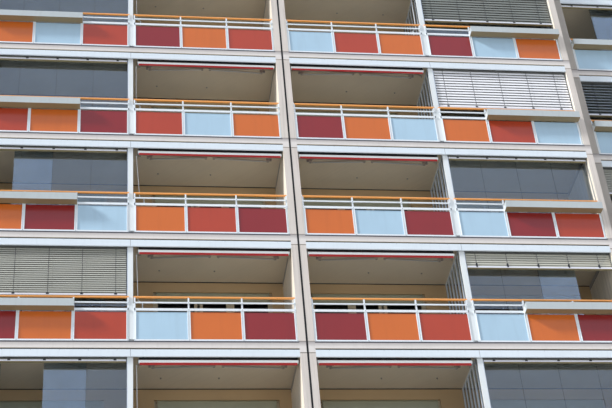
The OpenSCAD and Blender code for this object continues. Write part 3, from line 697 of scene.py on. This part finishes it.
window_sills = [
    profile([(LOGGIA - 0.04, SILL - 0.02), (LOGGIA - 0.04, SILL - 0.002), (LOGGIA + 0.05, SILL + 0.006),
             (LOGGIA + 0.05, SILL), (LOGGIA - 0.034, SILL - 0.008), (LOGGIA - 0.034, SILL - 0.02)],
            GROUP_U0 - 0.02, DOOR_U - 0.037),
    bar((DOOR_U - 0.02, LOGGIA, 0.0), (GROUP_U1, LOGGIA + 0.05, 0.02)),
]
spread(window_sills, "loggia_window_sills", track_metal, also_mirrored=True)

HANDLE_Z, DOOR_HANDLE_Z = 1.55, 1.05
handles = []
for u, z in ((sash_a[1] - SASH / 2, HANDLE_Z), (sash_b[0] + SASH / 2, HANDLE_Z),
             (sash_door[0] + SASH / 2, DOOR_HANDLE_Z)):
    handles += [rod((u, SASH_Y0, z), (u, SASH_Y0 - 0.03, z), 0.009, 8),
                bar((u - 0.007, SASH_Y0 - 0.038, z - 0.09), (u + 0.007, SASH_Y0 - 0.024, z + 0.01), 0.003)]
spread(handles, "loggia_window_handles", track_metal, also_mirrored=True)

# Rear windows, with frame, middle bar and sill

REAR_GLASS_Y = DEPTH - REVEAL
REAR_PITCH = (BAY + PANEL_GAP) / 2
REAR_MID = (BAY - PANEL_GAP) / 4
REAR_Z0 = REAR_HEAD - REAR_H
REAR_FRAME = 0.05


def rear_window(width, z0, z1, bars):
    """Frame, middle bars and sashes of one window in the rear face, around the panel's middle."""
    u0, u1 = REAR_MID - width / 2, REAR_MID + width / 2
    y0, y1 = REAR_GLASS_Y, REAR_GLASS_Y + 0.045
    inner_z0, inner_z1 = z0 + REAR_FRAME, z1 - REAR_FRAME
    middles = [u0 + share * width for share in bars]
    parts = [ring(u0, u1, z0, z1, REAR_FRAME, y0, y1)]
    parts += [bar((u - 0.045, y0, inner_z0), (u + 0.045, y1 - 0.004, inner_z1)) for u in middles]
    edges = [u0 + REAR_FRAME] + middles + [u1 - REAR_FRAME]
    for left, right in zip(edges, edges[1:]):
        parts.append(ring(left, right, inner_z0, inner_z1, 0.065, y0, y1 + 0.012))
    return parts


def rear_sill(width, z0):
    back, face, lip = REAR_GLASS_Y + 0.03, DEPTH + 0.03, DEPTH + 0.035
    return [profile([(back, z0 + 0.01), (lip, z0 - 0.006), (lip, z0 - 0.03), (face, z0 - 0.03),
                     (face, z0 - 0.011), (back, z0 + 0.002)], REAR_MID - width / 2, REAR_MID + width / 2)]


rear_places = [bay_place(b, s) @ shift(REAR_PITCH * k) for b, s in ALL_PLACES for k in (0, 1)
               if not (k == 0 and b % 2 == 0)]
stair_places = [bay_place(b, s) for b, s in ALL_PLACES if b % 2 == 0 and s > 0]
frames = set_out(rear_window(REAR_W, REAR_Z0, REAR_HEAD, (0.6,)), rear_places)
frames += set_out(rear_window(STAIR_W, STAIR_Z, STAIR_Z + STAIR_H, ()), stair_places)
finished(joined(frames, "rear_window_frames"), rear_frame_paint)
sills = set_out(rear_sill(REAR_W, REAR_Z0), rear_places)
sills += set_out(rear_sill(STAIR_W, STAIR_Z), stair_places)
finished(joined(sills, "rear_window_sills"), zinc)

# Railings: trims beside the panels, bolts, feet and flanges

trims = []
for k in (0, 1, 2, 4, 5, 6):
    left, right = post_u(k) + POST_W / 2, post_u(k + 1) - POST_W / 2
    for u in (left, right - 0.016):
        trims.append(bar((u, 0.006, SILL_RAIL_TOP), (u + 0.016, 0.0235, TOP_RAIL_Z), 0.002))
spread(trims, "panel_edge_trims", white_paint)

bolts = []
for k in range(8):
    for z in (SILL_RAIL_TOP - 0.02, TOP_RAIL_Z + TOP_RAIL_H / 2, MID_RAIL_Z + MID_RAIL_H / 2):
        bolts.append(rod((post_u(k), 0.002, z), (post_u(k), -0.006, z), 0.008, 6, 0))
spread(bolts, "railing_bolts", steel)

feet = []
for k in (0, 1, 2, 5, 6, 7):
    low, high = max(post_u(k) - 0.032, 0.001), min(post_u(k) + 0.032, BAY - 0.001)
    feet.append(bar((low, 0.0585, 0.0), (high, 0.115, 0.008), 0))
flanges = [rod((u, RAIL_D + 0.02, HANDRAIL_Z), (u + way * 0.008, RAIL_D + 0.02, HANDRAIL_Z), 0.042, 16)
           for u, way in ((0.0, 1), (BAY, -1))]
for k in (3, 4):
    u = post_u(k)
    flanges.append(bar((u - 0.014, RAIL_BACK, 0.98), (u + 0.014, RAIL_BACK + 0.004, 1.04), 0.001))
spread(feet + flanges, "railing_feet_and_flanges", white_paint)

twin_bolts = []
for k in (3, 4):
    for z in (TOP_RAIL_Z + 0.012, TOP_RAIL_Z + 0.043):
        twin_bolts.append(rod((post_u(k), 0.0, z), (post_u(k), -0.008, z), 0.011, 8, 0))
spread(twin_bolts, "dark_rail_bolts", black_plastic)

# Slab edge flashing, dark as painted shade under the sill rail; the seams of the sheet band; and black strips
# of painted shade above the band and at the back of each soffit

# Flashing over each slab's top edge, dark as painted shade under the sill rail
flashing = [profile([(0.05, 0.0), (0.05, 0.004), (-0.003, 0.004), (-0.003, -0.026), (0.0, -0.026),
                     (0.0, 0.0)], 0.0, BAY)]
spread(flashing, "slab_edge_flashings", shade_dark_flashing)

BAND_TOP = BAND_Z + BAND_H
seams = [bar((MID_U - 0.0035, -0.0012, BAND_Z + 0.002), (MID_U + 0.0035, 0.001, BAND_TOP - 0.002), 0)]
spread(seams, "band_seams", steel)
# Painted shade: black strips in the gap between slab and band, and in the corner of soffit and rear wall
shade_strips = [bar((0.0, 0.0215, BAND_TOP - 0.003), (BAY, 0.0255, CLEAR - 0.001), 0),
         bar((0.0, LOGGIA - 0.005, CLEAR - 0.02), (BAY, LOGGIA - 0.0005, CLEAR - 0.001), 0)]
spread(shade_strips, "painted_shade_strips", rubber)

# Rubber sealing strips over the joints between twin walls in one plane, with a tongue between them; their
# black lips lap over the pier edges as painted shade that widens the joint's dark line

LIP = JOINT / 2 + 0.008
strip_line = [(-LIP, -0.001), (-LIP + 0.004, -0.004), (-0.004, 0.0), (0.004, 0.0), (LIP - 0.004, -0.004),
              (LIP, -0.001), (0.008, 0.002), (0.005, 0.03), (-0.005, 0.03), (-0.008, 0.002)]
strip_z0, strip_z1 = GROUND_FLOOR - SLAB - RIB, floor_z(STOREYS) - 0.01
wall_strips = []
for bay in (1, 3):
    joint_x = bay_x[bay] - WALL - JOINT / 2
    wall_strips.append(drawn([(joint_x + x, bay_y[bay] + y, strip_z0) for x, y in strip_line],
                             (0, 0, strip_z1 - strip_z0)))
finished(joined(wall_strips, "wall_joint_seals_and_shade"), rubber)

# Rivets along the top of the sheet band

RIVETS, RIVET_Z = 12, BAND_TOP - 0.018
rivets = []
for i in range(RIVETS):
    u = BAY * (i + 0.5) / RIVETS
    rivets.append(rod((u, 0.001, RIVET_Z), (u, -0.0025, RIVET_Z), 0.0055, 6, 0))
spread(rivets, "band_rivets", steel)

# Partition glazing bars

FIELDS, FIELD_FRAME = 3, 0.045
field = (LOGGIA - POST_BACK - (FIELDS + 1) * FIELD_FRAME) / FIELDS
glazing_bars = []
for k in range(FIELDS):
    y = POST_BACK + FIELD_FRAME + k * (field + FIELD_FRAME) + field / 2
    for u in (MID_U - 0.012, MID_U + 0.012):
        low, high = (u - 0.007, y - 0.016, FIELD_FRAME), (u + 0.007, y + 0.016, CLEAR - FIELD_FRAME)
        glazing_bars.append(bar(low, high, 0.002))
spread(glazing_bars, "partition_glazing_bars", white_paint)

# Sliding glass: clamp rails, edge seals and knobs

CLAMP_H, CLAMP_T = 0.026, 0.004
HIGH_CLAMP = CLEAR - TRACK_H - CLAMP_H
KNOB_U, KNOB_Z = PANE_W - 0.09, 1.05
pane_fittings = [rod((KNOB_U, PANE_T, KNOB_Z), (KNOB_U, PANE_T + 0.03, KNOB_Z), 0.018, 12)]
for z in (TRACK_H, HIGH_CLAMP):
    for y in (-CLAMP_T, PANE_T):
        pane_fittings.append(bar((PANE_GAP / 2, y, z), (PANE_W - PANE_GAP / 2, y + CLAMP_T, z + CLAMP_H),
                                 0.001))
pane_places = []
for b, s in ALL_PLACES:
    slid = int(SLID_PANES[s][b])
    for k in range(PANES):
        # The slid pane stands behind its neighbour, in the rear groove
        place, groove = (k, GROOVES[0]) if slid != k + 1 else (k - 1 if k > 0 else 1, GROOVES[1])
        pane_places.append(bay_place(b, s) @ shift(TRACK_U + place * PANE_W, TRACK_Y + groove))
placed(pane_fittings, pane_places, "glass_clamps_and_knobs", track_metal)
seal = [bar((0.0005, PANE_T / 2 - 0.004, TRACK_H + CLAMP_H), (0.0035, PANE_T / 2 + 0.004, HIGH_CLAMP), 0)]
placed(seal, pane_places, "glass_edge_seals", rubber)

# Guide channels at both ends of the outside blinds

guides = []
for u0, u1 in ((GLAZED_U + 0.001, GLAZED_U + 0.012), (BAY - 0.012, BAY - 0.001)):
    guides.append(bar((u0, 0.088, 0.0), (u1, 0.122, BLIND_TOP), 0.001))
guides.append(bar((GLAZED_U + 0.001, 0.061, 0.0), (GLAZED_U + 0.012, 0.064, CLEAR - 0.002), 0))
spread(guides, "blind_guides", track_metal)
STUD_U = GLAZED_U + 0.0065
studs = [rod((STUD_U, 0.0615, 0.2 + 0.4 * i), (STUD_U, 0.0585, 0.2 + 0.4 * i), 0.004, 6, 0) for i in range(6)]
spread(studs, "blind_guide_screws", steel)

# Outside blinds: closed and open slats, ladder tapes, bottom bars and clips

TAPES = (0.07, 0.28, 0.49, 0.70, 0.91)
# Slat width, tilt in degrees, pitch and tone of the ways a blind hangs
SETTINGS = {"closed": (0.062, 68, 0.055, "grey"), "wide": (0.084, 76, 0.086, "dim"),
            "white": (0.084, 75, 0.086, "white"), "open": (0.08, 62, 0.096, "dark"),
            "part": (0.07, 73, 0.064, "pale")}
HANGING = {(1, 8): "white", (1, 9): "wide", (2, 8): "open", (3, 9): "white", (2, 5): "white", (0, 2): "white"}
SLAT_U0, SLAT_U1 = BLIND_U0 + 0.012, BLIND_U1 - 0.012
PIN = 0.009
blind_mid = BLIND_Y + BLIND_D / 2
tape_us = [BLIND_U0 + share * BLIND_W for share in TAPES]


def slat(width, angle, z):
    """Arched slat seen end-on, turned by angle about its middle, front edge down."""
    turn = math.radians(angle)
    points = []
    for across, lift in ((-0.5, 0.0), (-0.25, 0.06), (0.0, 0.08), (0.25, 0.06), (0.5, 0.0), (0.0, 0.06)):
        y, up = across * width, lift * width
        points.append((blind_mid + y * math.cos(turn) - up * math.sin(turn),
                       z + y * math.sin(turn) + up * math.cos(turn)))
    return profile(points, SLAT_U0, SLAT_U1)


def drop_of(digit):
    return math.floor(digit / 9 * FULL_DROP / BLIND_STEP) * BLIND_STEP


blind_parts = {tone: [] for tone in slat_tones}
bottom_bars, dark_parts = [], []
blind_kinds = {}
for b, s in ALL_PLACES:
    digit = int(BLINDS[s][b])
    usual = "part" if 0 < digit < 6 else "closed"
    blind_kinds.setdefault((digit, HANGING.get((b, s), usual)), []).append(bay_place(b, s))
for (digit, hanging), matrices in blind_kinds.items():
    drop = drop_of(digit)
    width, tilt, pitch, tone = SETTINGS[hanging]
    if drop > 0:
        count = round(drop / pitch)
        step = drop / count
        first_z = BLIND_TOP - step / 2
        slats = arrayed(slat(width, tilt, first_z), count, (0, 0, -step))
        front, back = blind_mid - PIN, blind_mid + PIN
        pins = [arrayed(bar((u - 0.006, front, first_z - PIN), (u + 0.006, back, first_z + PIN), 0.002),
                        count, (0, 0, -step)) for u in [SLAT_U0, SLAT_U1] + tape_us]
        dark_parts += set_out(pins, matrices)
    else:
        drop = BLIND_PACK - BLIND_BAR
        slats = arrayed(slat(0.076, 2, BLIND_TOP - 0.004), 6, (0, 0, -0.0045))
    blind_parts[tone] += set_out([slats], matrices)
    z0 = BLIND_TOP - drop - BLIND_BAR - 0.01
    y0, y1 = blind_mid - 0.034, blind_mid + 0.034
    foot = profile([(y0, z0 + 0.004), (y0 + 0.004, z0), (y1 - 0.004, z0), (y1, z0 + 0.004), (y1, z0 + 0.046),
                    (y1 - 0.008, z0 + 0.052), (y0 + 0.008, z0 + 0.052), (y0, z0 + 0.046)], SLAT_U0, SLAT_U1)
    bottom_bars += set_out([foot], matrices)
    dark = []
    clip_w, clip_top = (0.036, 0.12) if 0 < digit < 6 else (0.06, 0.06)
    for u in tape_us:
        dark.append(bar((u - clip_w / 2, y0 - 0.004, z0 + 0.02), (u + clip_w / 2, y1 + 0.004, z0 + clip_top)))
        for y in (y0 - 0.002, y1 + 0.002):
            dark.append(bar((u - 0.003, y - 0.0008, z0 + 0.03), (u + 0.003, y + 0.0008, BLIND_TOP), 0))
    dark_parts += set_out(dark, matrices)
for tone, coating in slat_tones.items():
    finished(joined(blind_parts[tone], tone + "_blind_slats"), coating, ["blind_slats"])
finished(joined(bottom_bars, "blind_bottom_bars"), foot_coating, ["blind_slats"])
finished(joined(dark_parts, "blind_tapes_and_clips"), black_plastic, ["blind_slats"])

# Awnings: front bar with end caps, rolled cloth, arms, gear and crank

front_bar = [profile([(BAR_Y, BAR_Z + 0.004), (BAR_Y + 0.003, BAR_Z), (BAR_Y + 0.012, BAR_Z),
                      (BAR_Y + 0.012, BAR_Z + 0.008), (BAR_Y + 0.02, BAR_Z + 0.008), (BAR_Y + 0.02, BAR_Z),
                      (BAR_BACK, BAR_Z), (BAR_BACK, BAR_Z + 0.03), (BAR_BACK - 0.006, BAR_Z + 0.036),
                      (BAR_BACK, BAR_Z + 0.042), (BAR_BACK, BAR_TOP - 0.006), (BAR_BACK - 0.006, BAR_TOP),
                      (BAR_Y + 0.014, BAR_TOP), (BAR_Y, BAR_TOP - 0.016)], AWNING_U, AWNING_END)]
spread(front_bar, "awning_front_bars", bar_coating, stands_for=["awning_bars"])
caps = [bar((u - 0.002, BAR_Y - 0.002, BAR_Z - 0.002), (u + 0.006, BAR_BACK + 0.001, BAR_TOP + 0.002), 0.002)
        for u in (AWNING_U - 0.003, AWNING_END - 0.002)]
spread(caps, "awning_bar_end_caps", track_metal, stands_for=["awning_bars"])


def hung_cloths(kind, line, u0, u1, offset):
    """Cloth along a line of (y, z) points, one in each bay and storey, and the length of that line."""
    strip = drawn([(u0, y, z) for y, z in line], (u1 - u0, 0, 0), closed=False)
    pick(strip)
    thickness = strip.modifiers.new("cloth_thickness", "SOLIDIFY")
    thickness.thickness = 0.0006
    thickness.offset = offset
    bpy.ops.object.modifier_apply(modifier=thickness.name)
    cloths = set_out([strip], [bay_place(b, s) for b, s in ALL_PLACES])
    for (b, s), cloth in zip(ALL_PLACES, cloths):
        finished(joined([cloth], f"awning_{kind}_{s}_{b}"), cloth_red, ["awning_cloths"])
    return cloths, sum(math.dist(a, b) for a, b in zip(line, line[1:]))


CLOTH_U0, CLOTH_U1 = AWNING_U + CHEEK + 0.004, AWNING_END - CHEEK - 0.004
TURNS, TURN_POINTS = 9, 12
CORE_R = 0.036
cloth_line = []
for i in range(TURNS * TURN_POINTS + 3):
    angle = 2 * math.pi * i / TURN_POINTS
    radius = CORE_R + (ROLL_D / 2 - 0.001 - CORE_R) * min(1, i / (TURNS * TURN_POINTS))
    cloth_line.append((ROLL_Y - radius * math.sin(angle), ROLL_Z + radius * math.cos(angle)))
cloth_line += [(BAR_BACK - 0.004, BAR_TOP + 0.004), (BAR_Y + 0.02, BAR_TOP + 0.002)]
cloths, cloth_length = hung_cloths("cloth", cloth_line, CLOTH_U0, CLOTH_U1, offset=0)

VALANCE_U0, VALANCE_U1 = AWNING_U + 0.025, AWNING_END - 0.025
hem_y, hem_z = BAR_Y + 0.003, BAR_Z - VALANCE_H
valance_line = [(hem_y, BAR_Z + 0.006), (hem_y - 0.0015, BAR_Z - 0.015), (hem_y - 0.003, BAR_Z - 0.038),
                (hem_y - 0.002, hem_z), (hem_y + 0.001, hem_z), (hem_y + 0.001, hem_z + 0.012)]
cloths, valance_length = hung_cloths("valance", valance_line, VALANCE_U0, VALANCE_U1, offset=-1)

rollers = [rod((AWNING_U + CHEEK, ROLL_Y, ROLL_Z), (AWNING_END - CHEEK, ROLL_Y, ROLL_Z), CORE_R - 0.001, 16)]
spread(rollers, "awning_rollers", track_metal)

REAR_Y = TUBE_Y + TUBE / 2
ELBOW_Y = BAR_BACK + (REAR_Y - BAR_BACK + ARM_W / 2) / 2


def both_arms(build):
    """The left arm's pieces, and their mirror image for the right arm."""
    left = joined(build(), "left_arm_pieces")
    right = copy_at(left, shift(AWNING_U + AWNING_END) @ Matrix.Diagonal((-1, 1, 1, 1)))
    return [left, right]


def arm_castings():
    u, low = AWNING_U + SHOULDER_U, ARM_TOP - ARM_H
    elbow = u + ARM_L - 0.03
    return [
        rod((u, REAR_Y, low - 0.006), (u, REAR_Y, ARM_TOP - 0.001), 0.022, 12),
        rod((elbow, ELBOW_Y, low - 0.013), (elbow, ELBOW_Y, low - 0.0105), 0.014, 8),
        bar((u - 0.05, BAR_BACK + 0.0005, low - 0.008), (u + 0.05, BAR_BACK + 0.04, low - 0.0005), 0.002),
        rod((u, BAR_BACK + 0.018, low - 0.016), (u, BAR_BACK + 0.018, low - 0.008), 0.01, 8),
        bar((u - 0.09, TUBE_Y - 0.012, ARM_TOP + 0.004), (u - 0.04, TUBE_Y + TUBE, ARM_TOP + 0.05), 0.004),
    ]


def arm_wires():
    u, z = AWNING_U + SHOULDER_U, ARM_TOP - ARM_H - 0.004
    return [rod((u + 0.05, REAR_Y - 0.004 - gap, z), (u + ARM_L - 0.06, ELBOW_Y + 0.012 - gap, z),
                0.003, 6, 0) for gap in (0, 0.012)]


spread(both_arms(arm_castings), "awning_arm_castings", dark_casting)
spread(both_arms(arm_wires), "awning_arm_wires", track_metal)

bracket_bolts = []
for u, way in ((AWNING_U, -1), (AWNING_END, 1)):
    for y, z in ((ROLL_Y, ROLL_Z), (REAR_Y, ROLL_Z), (BAR_BACK + 0.02, CLEAR - 0.03), (REAR_Y, CLEAR - 0.03)):
        bracket_bolts.append(rod((u, y, z), (u + way * 0.007, y, z), 0.011, 8, 0))
spread(bracket_bolts, "awning_bracket_bolts", steel)


def crank():
    """Gear eye, rod, and the bent handle with its grip at the foot, hanging plumb."""
    foot, out = -CRANK_L, -0.09
    return [
        rod((0, 0, 0), (0, 0, -0.05), 0.012, 8),
        rod((0, 0, -0.04), (0, 0, foot + 0.25), 0.007, 8),
        rod((0, 0, foot + 0.25), (out, 0, foot + 0.19), 0.007, 8),
        rod((out, 0, foot + 0.195), (out, 0, foot + 0.005), 0.007, 8),
        rod((out, 0, foot + 0.17), (out, 0, foot + 0.05), 0.013, 10),
    ]


COVER_Z = CLEAR - 0.022
# A hood over the roll, black as painted shade in the gap behind the band
shade_covers = [profile([(0.092, BAR_TOP + 0.01), (0.088, BAR_TOP + 0.01), (0.088, COVER_Z - 0.012),
                   (0.1, COVER_Z), (0.26, COVER_Z), (0.26, COVER_Z - 0.004), (0.102, COVER_Z - 0.004),
                   (0.092, COVER_Z - 0.014)],
                  AWNING_U + CHEEK, AWNING_END - CHEEK)]
spread(shade_covers, "awning_shade_hoods", rubber)

# The rod hangs from an eye on a short shaft, out past the end bracket
SHAFT_U = AWNING_U + GEAR_U
EYE_U = SHAFT_U + 0.075
NO_CRANK = 9
hung_at = [(b, s) for b, s in ALL_PLACES if int(CRANKS[s][b]) != NO_CRANK]
crank_places = []
for b, s in hung_at:
    lean = Matrix.Rotation(math.radians(int(CRANKS[s][b]) / 2), 4, "Y")
    crank_places.append(bay_place(b, s) @ shift(EYE_U, ROLL_Y, GEAR_Z - 0.0005) @ lean)
eye = [rod((SHAFT_U, ROLL_Y, GEAR_Z + 0.012), (EYE_U, ROLL_Y, GEAR_Z + 0.012), 0.008, 8),
       rod((EYE_U, ROLL_Y - 0.014, GEAR_Z + 0.01), (EYE_U, ROLL_Y + 0.014, GEAR_Z + 0.01), 0.018, 12)]
spread(eye, "awning_gear_eyes", arm_metal, places=hung_at)
placed(crank(), crank_places, "awning_crank_rods", white_paint, ["awning_cranks"])

# Planter troughs: rolled rim, end brackets and straps over the rail

T_U0, T_U1 = post_u(5) - POST_W / 2, post_u(7) + POST_W / 2
RIM_Z = PLANTER_Z + PLANTER_H
rims = [bar((T_U0, -PLANTER_D, RIM_Z - 0.003), (T_U1, -PLANTER_D + 0.012, RIM_Z + 0.007))]
rims += [bar((u, -PLANTER_D, RIM_Z - 0.012), (u + 0.011, 0.0, RIM_Z + 0.003), 0.004)
         for u in (T_U0 - 0.004, T_U1 - 0.007)]
spread(rims, "planter_rims", trough_sheet)
straps = [bar((u - 0.02, -0.003, RIM_Z - 0.02), (u + 0.02, RAIL_D, RIM_Z + 0.03), 0.002)
          for u in (T_U0 + 0.12, (T_U0 + T_U1) / 2, T_U1 - 0.12)]
ends = [drawn([(u, 0.0, PLANTER_Z - 0.02), (u, -0.12, PLANTER_Z + 0.03), (u, -0.12, PLANTER_Z + 0.06),
               (u, 0.0, RIM_Z + 0.02)], (0.004 * way, 0, 0)) for u, way in ((T_U0, -1), (T_U1, 1))]
spread(straps + ends, "planter_brackets", white_paint)

# Hooks in the ceilings of the open loggias

HOOK_Y = 1.2
hooks = []
for u in (1.6, 2.84):
    hooks += [rod((u, HOOK_Y, CLEAR), (u, HOOK_Y, CLEAR - 0.012), 0.022, 10),
              rod((u, HOOK_Y, CLEAR - 0.01), (u, HOOK_Y - 0.02, CLEAR - 0.045), 0.006, 6)]
spread(hooks, "soffit_hooks", dark_casting)

# Entrances: two leaves with glass lights, frame, pulls and canopy edging

DOOR_W, DOOR_H = 1.4, 2.25
door_y0, door_y1 = DEPTH - 0.12, DEPTH - 0.06
entrance_places = [bay_place(b, 0) for b in (0, 2)]
door_u0, door_u1 = REAR_MID - DOOR_W / 2, REAR_MID + DOOR_W / 2
leaves = [ring(door_u0, door_u1, 0.0, DOOR_H, 0.055, door_y0 - 0.02, door_y1 + 0.02)]
for u0, u1 in ((door_u0 + 0.058, REAR_MID - 0.002), (REAR_MID + 0.002, door_u1 - 0.058)):
    leaves += [ring(u0, u1, 0.01, DOOR_H - 0.058, 0.1, door_y0, door_y1),
               bar((u0 + 0.1, door_y0 + 0.015, 0.11), (u1 - 0.1, door_y1 - 0.015, 0.42)),
               bar((u0 + 0.1, door_y0, 0.42), (u1 - 0.1, door_y1, 0.5))]
placed(leaves, entrance_places, "entrance_door_leaves", door_coating, ["entrance_doors"])
lights = [bar((u - 0.24, door_y0 + 0.024, 0.49), (u + 0.24, door_y1 - 0.024, DOOR_H - 0.15), 0.001)
          for u in (REAR_MID - 0.322, REAR_MID + 0.322)]
placed(lights, entrance_places, "entrance_door_glass", window_glass, ["entrance_doors"])
pull_y = door_y1 + 0.05
pulls = []
for u in (REAR_MID - 0.06, REAR_MID + 0.06):
    pulls.append(rod((u, pull_y, 0.85), (u, pull_y, 1.35), 0.014, 12))
    pulls += [rod((u, door_y1, z), (u, pull_y, z), 0.01, 8) for z in (0.92, 1.28)]
placed(pulls, entrance_places, "entrance_door_pulls", track_metal)
canopy_z, canopy_reach = DOOR_H + 0.15, 1.305
edging = [bar((REAR_MID - canopy_reach, DEPTH, canopy_z + 0.09),
              (REAR_MID + canopy_reach, DEPTH + canopy_reach, canopy_z + 0.125), 0.004)]
placed(edging, entrance_places, "canopy_edging", zinc)

# Roof: lapped felt, cap seams, and the doors and louvres of the lift housings

ROOF_PLACES = [bay_place(b, STOREYS) for b in range(4)]
FELT_W, FELT_LAP, FELT_T = BAY / 7, 0.03, 0.007
felt = []
for i in range(7):
    # Every second strip lies over the edges of its neighbours
    u0, z0 = i * FELT_W, 0.001 + 0.003 * (i % 2)
    felt.append(bar((u0 - FELT_LAP, 0.2, z0), (u0 + FELT_W + FELT_LAP, DEPTH - 0.22, z0 + FELT_T), 0.001))
placed(felt, ROOF_PLACES, "roof_felt_strips", roof_felt)
cap_z = 0.63
cap_seams = [bar((u - 0.012, y - 0.022, cap_z - 0.032), (u + 0.012, y + depth + 0.022, cap_z + 0.008), 0.003)
             for u in (0.2, 2.4, 4.6, 6.8) for y, depth in ((0.0, 0.18), (DEPTH - 0.2, 0.2))]
placed(cap_seams, ROOF_PLACES, "parapet_cap_seams", zinc)
LIFT_Y0 = 6.3
lift_places = [bay_place(b, STOREYS) for b in (0, 2)]
lift_doors = [ring(1.4, 2.4, 0.0, 2.05, 0.05, LIFT_Y0 - 0.03, LIFT_Y0 + 0.01),
              bar((1.45, LIFT_Y0 - 0.012, 0.02), (2.35, LIFT_Y0 + 0.005, 2.0), 0.004),
              rod((2.26, LIFT_Y0 - 0.012, 1.02), (2.26, LIFT_Y0 - 0.05, 1.02), 0.01, 8),
              bar((2.17, LIFT_Y0 - 0.06, 1.01), (2.27, LIFT_Y0 - 0.045, 1.03), 0.004)]
placed(lift_doors, lift_places, "lift_housing_doors", door_coating)
louvre = arrayed(drawn([(2.6, LIFT_Y0 - 0.035, 1.5), (2.6, LIFT_Y0, 1.545), (2.6, LIFT_Y0, 1.55),
                        (2.6, LIFT_Y0 - 0.035, 1.505)], (0.6, 0, 0)), 9, (0, 0, 0.055))
louvres = [louvre, ring(2.58, 3.22, 1.48, 2.04, 0.025, LIFT_Y0 - 0.04, LIFT_Y0 + 0.005)]
placed(louvres, lift_places, "lift_housing_louvres", zinc)

# Camera, from the photograph's vanishing lines and measured points

yaw, pitch, roll = math.radians(10.2204), math.radians(37.6039), math.radians(-5.29126)
forward = Vector((math.sin(yaw) * math.cos(pitch), math.cos(yaw) * math.cos(pitch), math.sin(pitch)))
right0 = Vector((math.cos(yaw), -math.sin(yaw), 0))
up0 = right0.cross(forward)
right = math.cos(roll) * right0 + math.sin(roll) * up0
up = -math.sin(roll) * right0 + math.cos(roll) * up0
camera_data = bpy.data.cameras.new("camera")
SENSOR, PHOTO_W, FOCAL_IN_PIXELS = 36, 612, 1442.985
camera_data.sensor_width = SENSOR
camera_data.lens = FOCAL_IN_PIXELS / PHOTO_W * SENSOR
camera_data.clip_end = 500
camera = bpy.data.objects.new("camera", camera_data)
bpy.context.scene.collection.objects.link(camera)
turn = Matrix((right, up, -forward)).transposed().to_4x4()
camera_stand = (-11.71278, -31.53522, 1.60485)
camera.matrix_world = Matrix.Translation(camera_stand) @ turn
bpy.context.scene.camera = camera

# Floor, lamps and sky

deselect()
bpy.ops.mesh.primitive_circle_add(vertices=64, radius=150, fill_type="NGON", location=(0, 0, 0))
ground = apply_place(bpy.context.object)
ground.name = "floor"
floor_paint = finish("floor_paint", srgb(226, 226, 224), size=6.0, amount=0.1, rough=0.9, grain_size=0.4)
ground.data.materials.append(floor_paint)
ground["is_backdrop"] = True


def sun(name, energy, angle, direction):
    """Sun lamp that is left out of mirror-like reflections, where its disc would show in the glass."""
    data = bpy.data.lights.new(name, "SUN")
    data.energy = energy
    data.angle = math.radians(angle)
    lamp = bpy.data.objects.new(name, data)
    lamp.rotation_euler = Vector(direction).to_track_quat("-Z", "Y").to_euler()
    bpy.context.scene.collection.objects.link(lamp)
    lamp.visible_glossy = False
    lamp.visible_transmission = False


sun("key", 4.1, 8, (1.0, 0.31, -0.7))
sun("fill", 0.8, 60, (-0.35, -0.75, -0.55))

world = bpy.data.worlds.new("sky")
bpy.context.scene.world = world
world.use_nodes = True
tree = world.node_tree
background = tree.nodes["Background"]
path = node(tree, "ShaderNodeLightPath")
ray = node(tree, "ShaderNodeTexCoord").outputs["Generated"]
height = node(tree, "ShaderNodeSeparateXYZ", {0: ray}).outputs[2]
HORIZON, ZENITH = (0.92, 1.02, 1.2, 1), (0.7, 0.88, 1.2, 1)
SKYLIGHT, BACKDROP = (0.48, 0.50, 0.54, 1), (0.96, 0.97, 0.98, 1)
sky = mix_colour(tree, ramp(tree, height, 0.0, 0.9), HORIZON, ZENITH)
seen = mix_colour(tree, path.outputs["Is Camera Ray"], SKYLIGHT, BACKDROP)
mirrored = mix_colour(tree, path.outputs["Is Glossy Ray"], seen, sky)
tree.links.new(mirrored, background.inputs[0])
background.inputs[1].default_value = 1.0

bpy.context.scene.view_settings.view_transform = "Standard"

low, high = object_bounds()
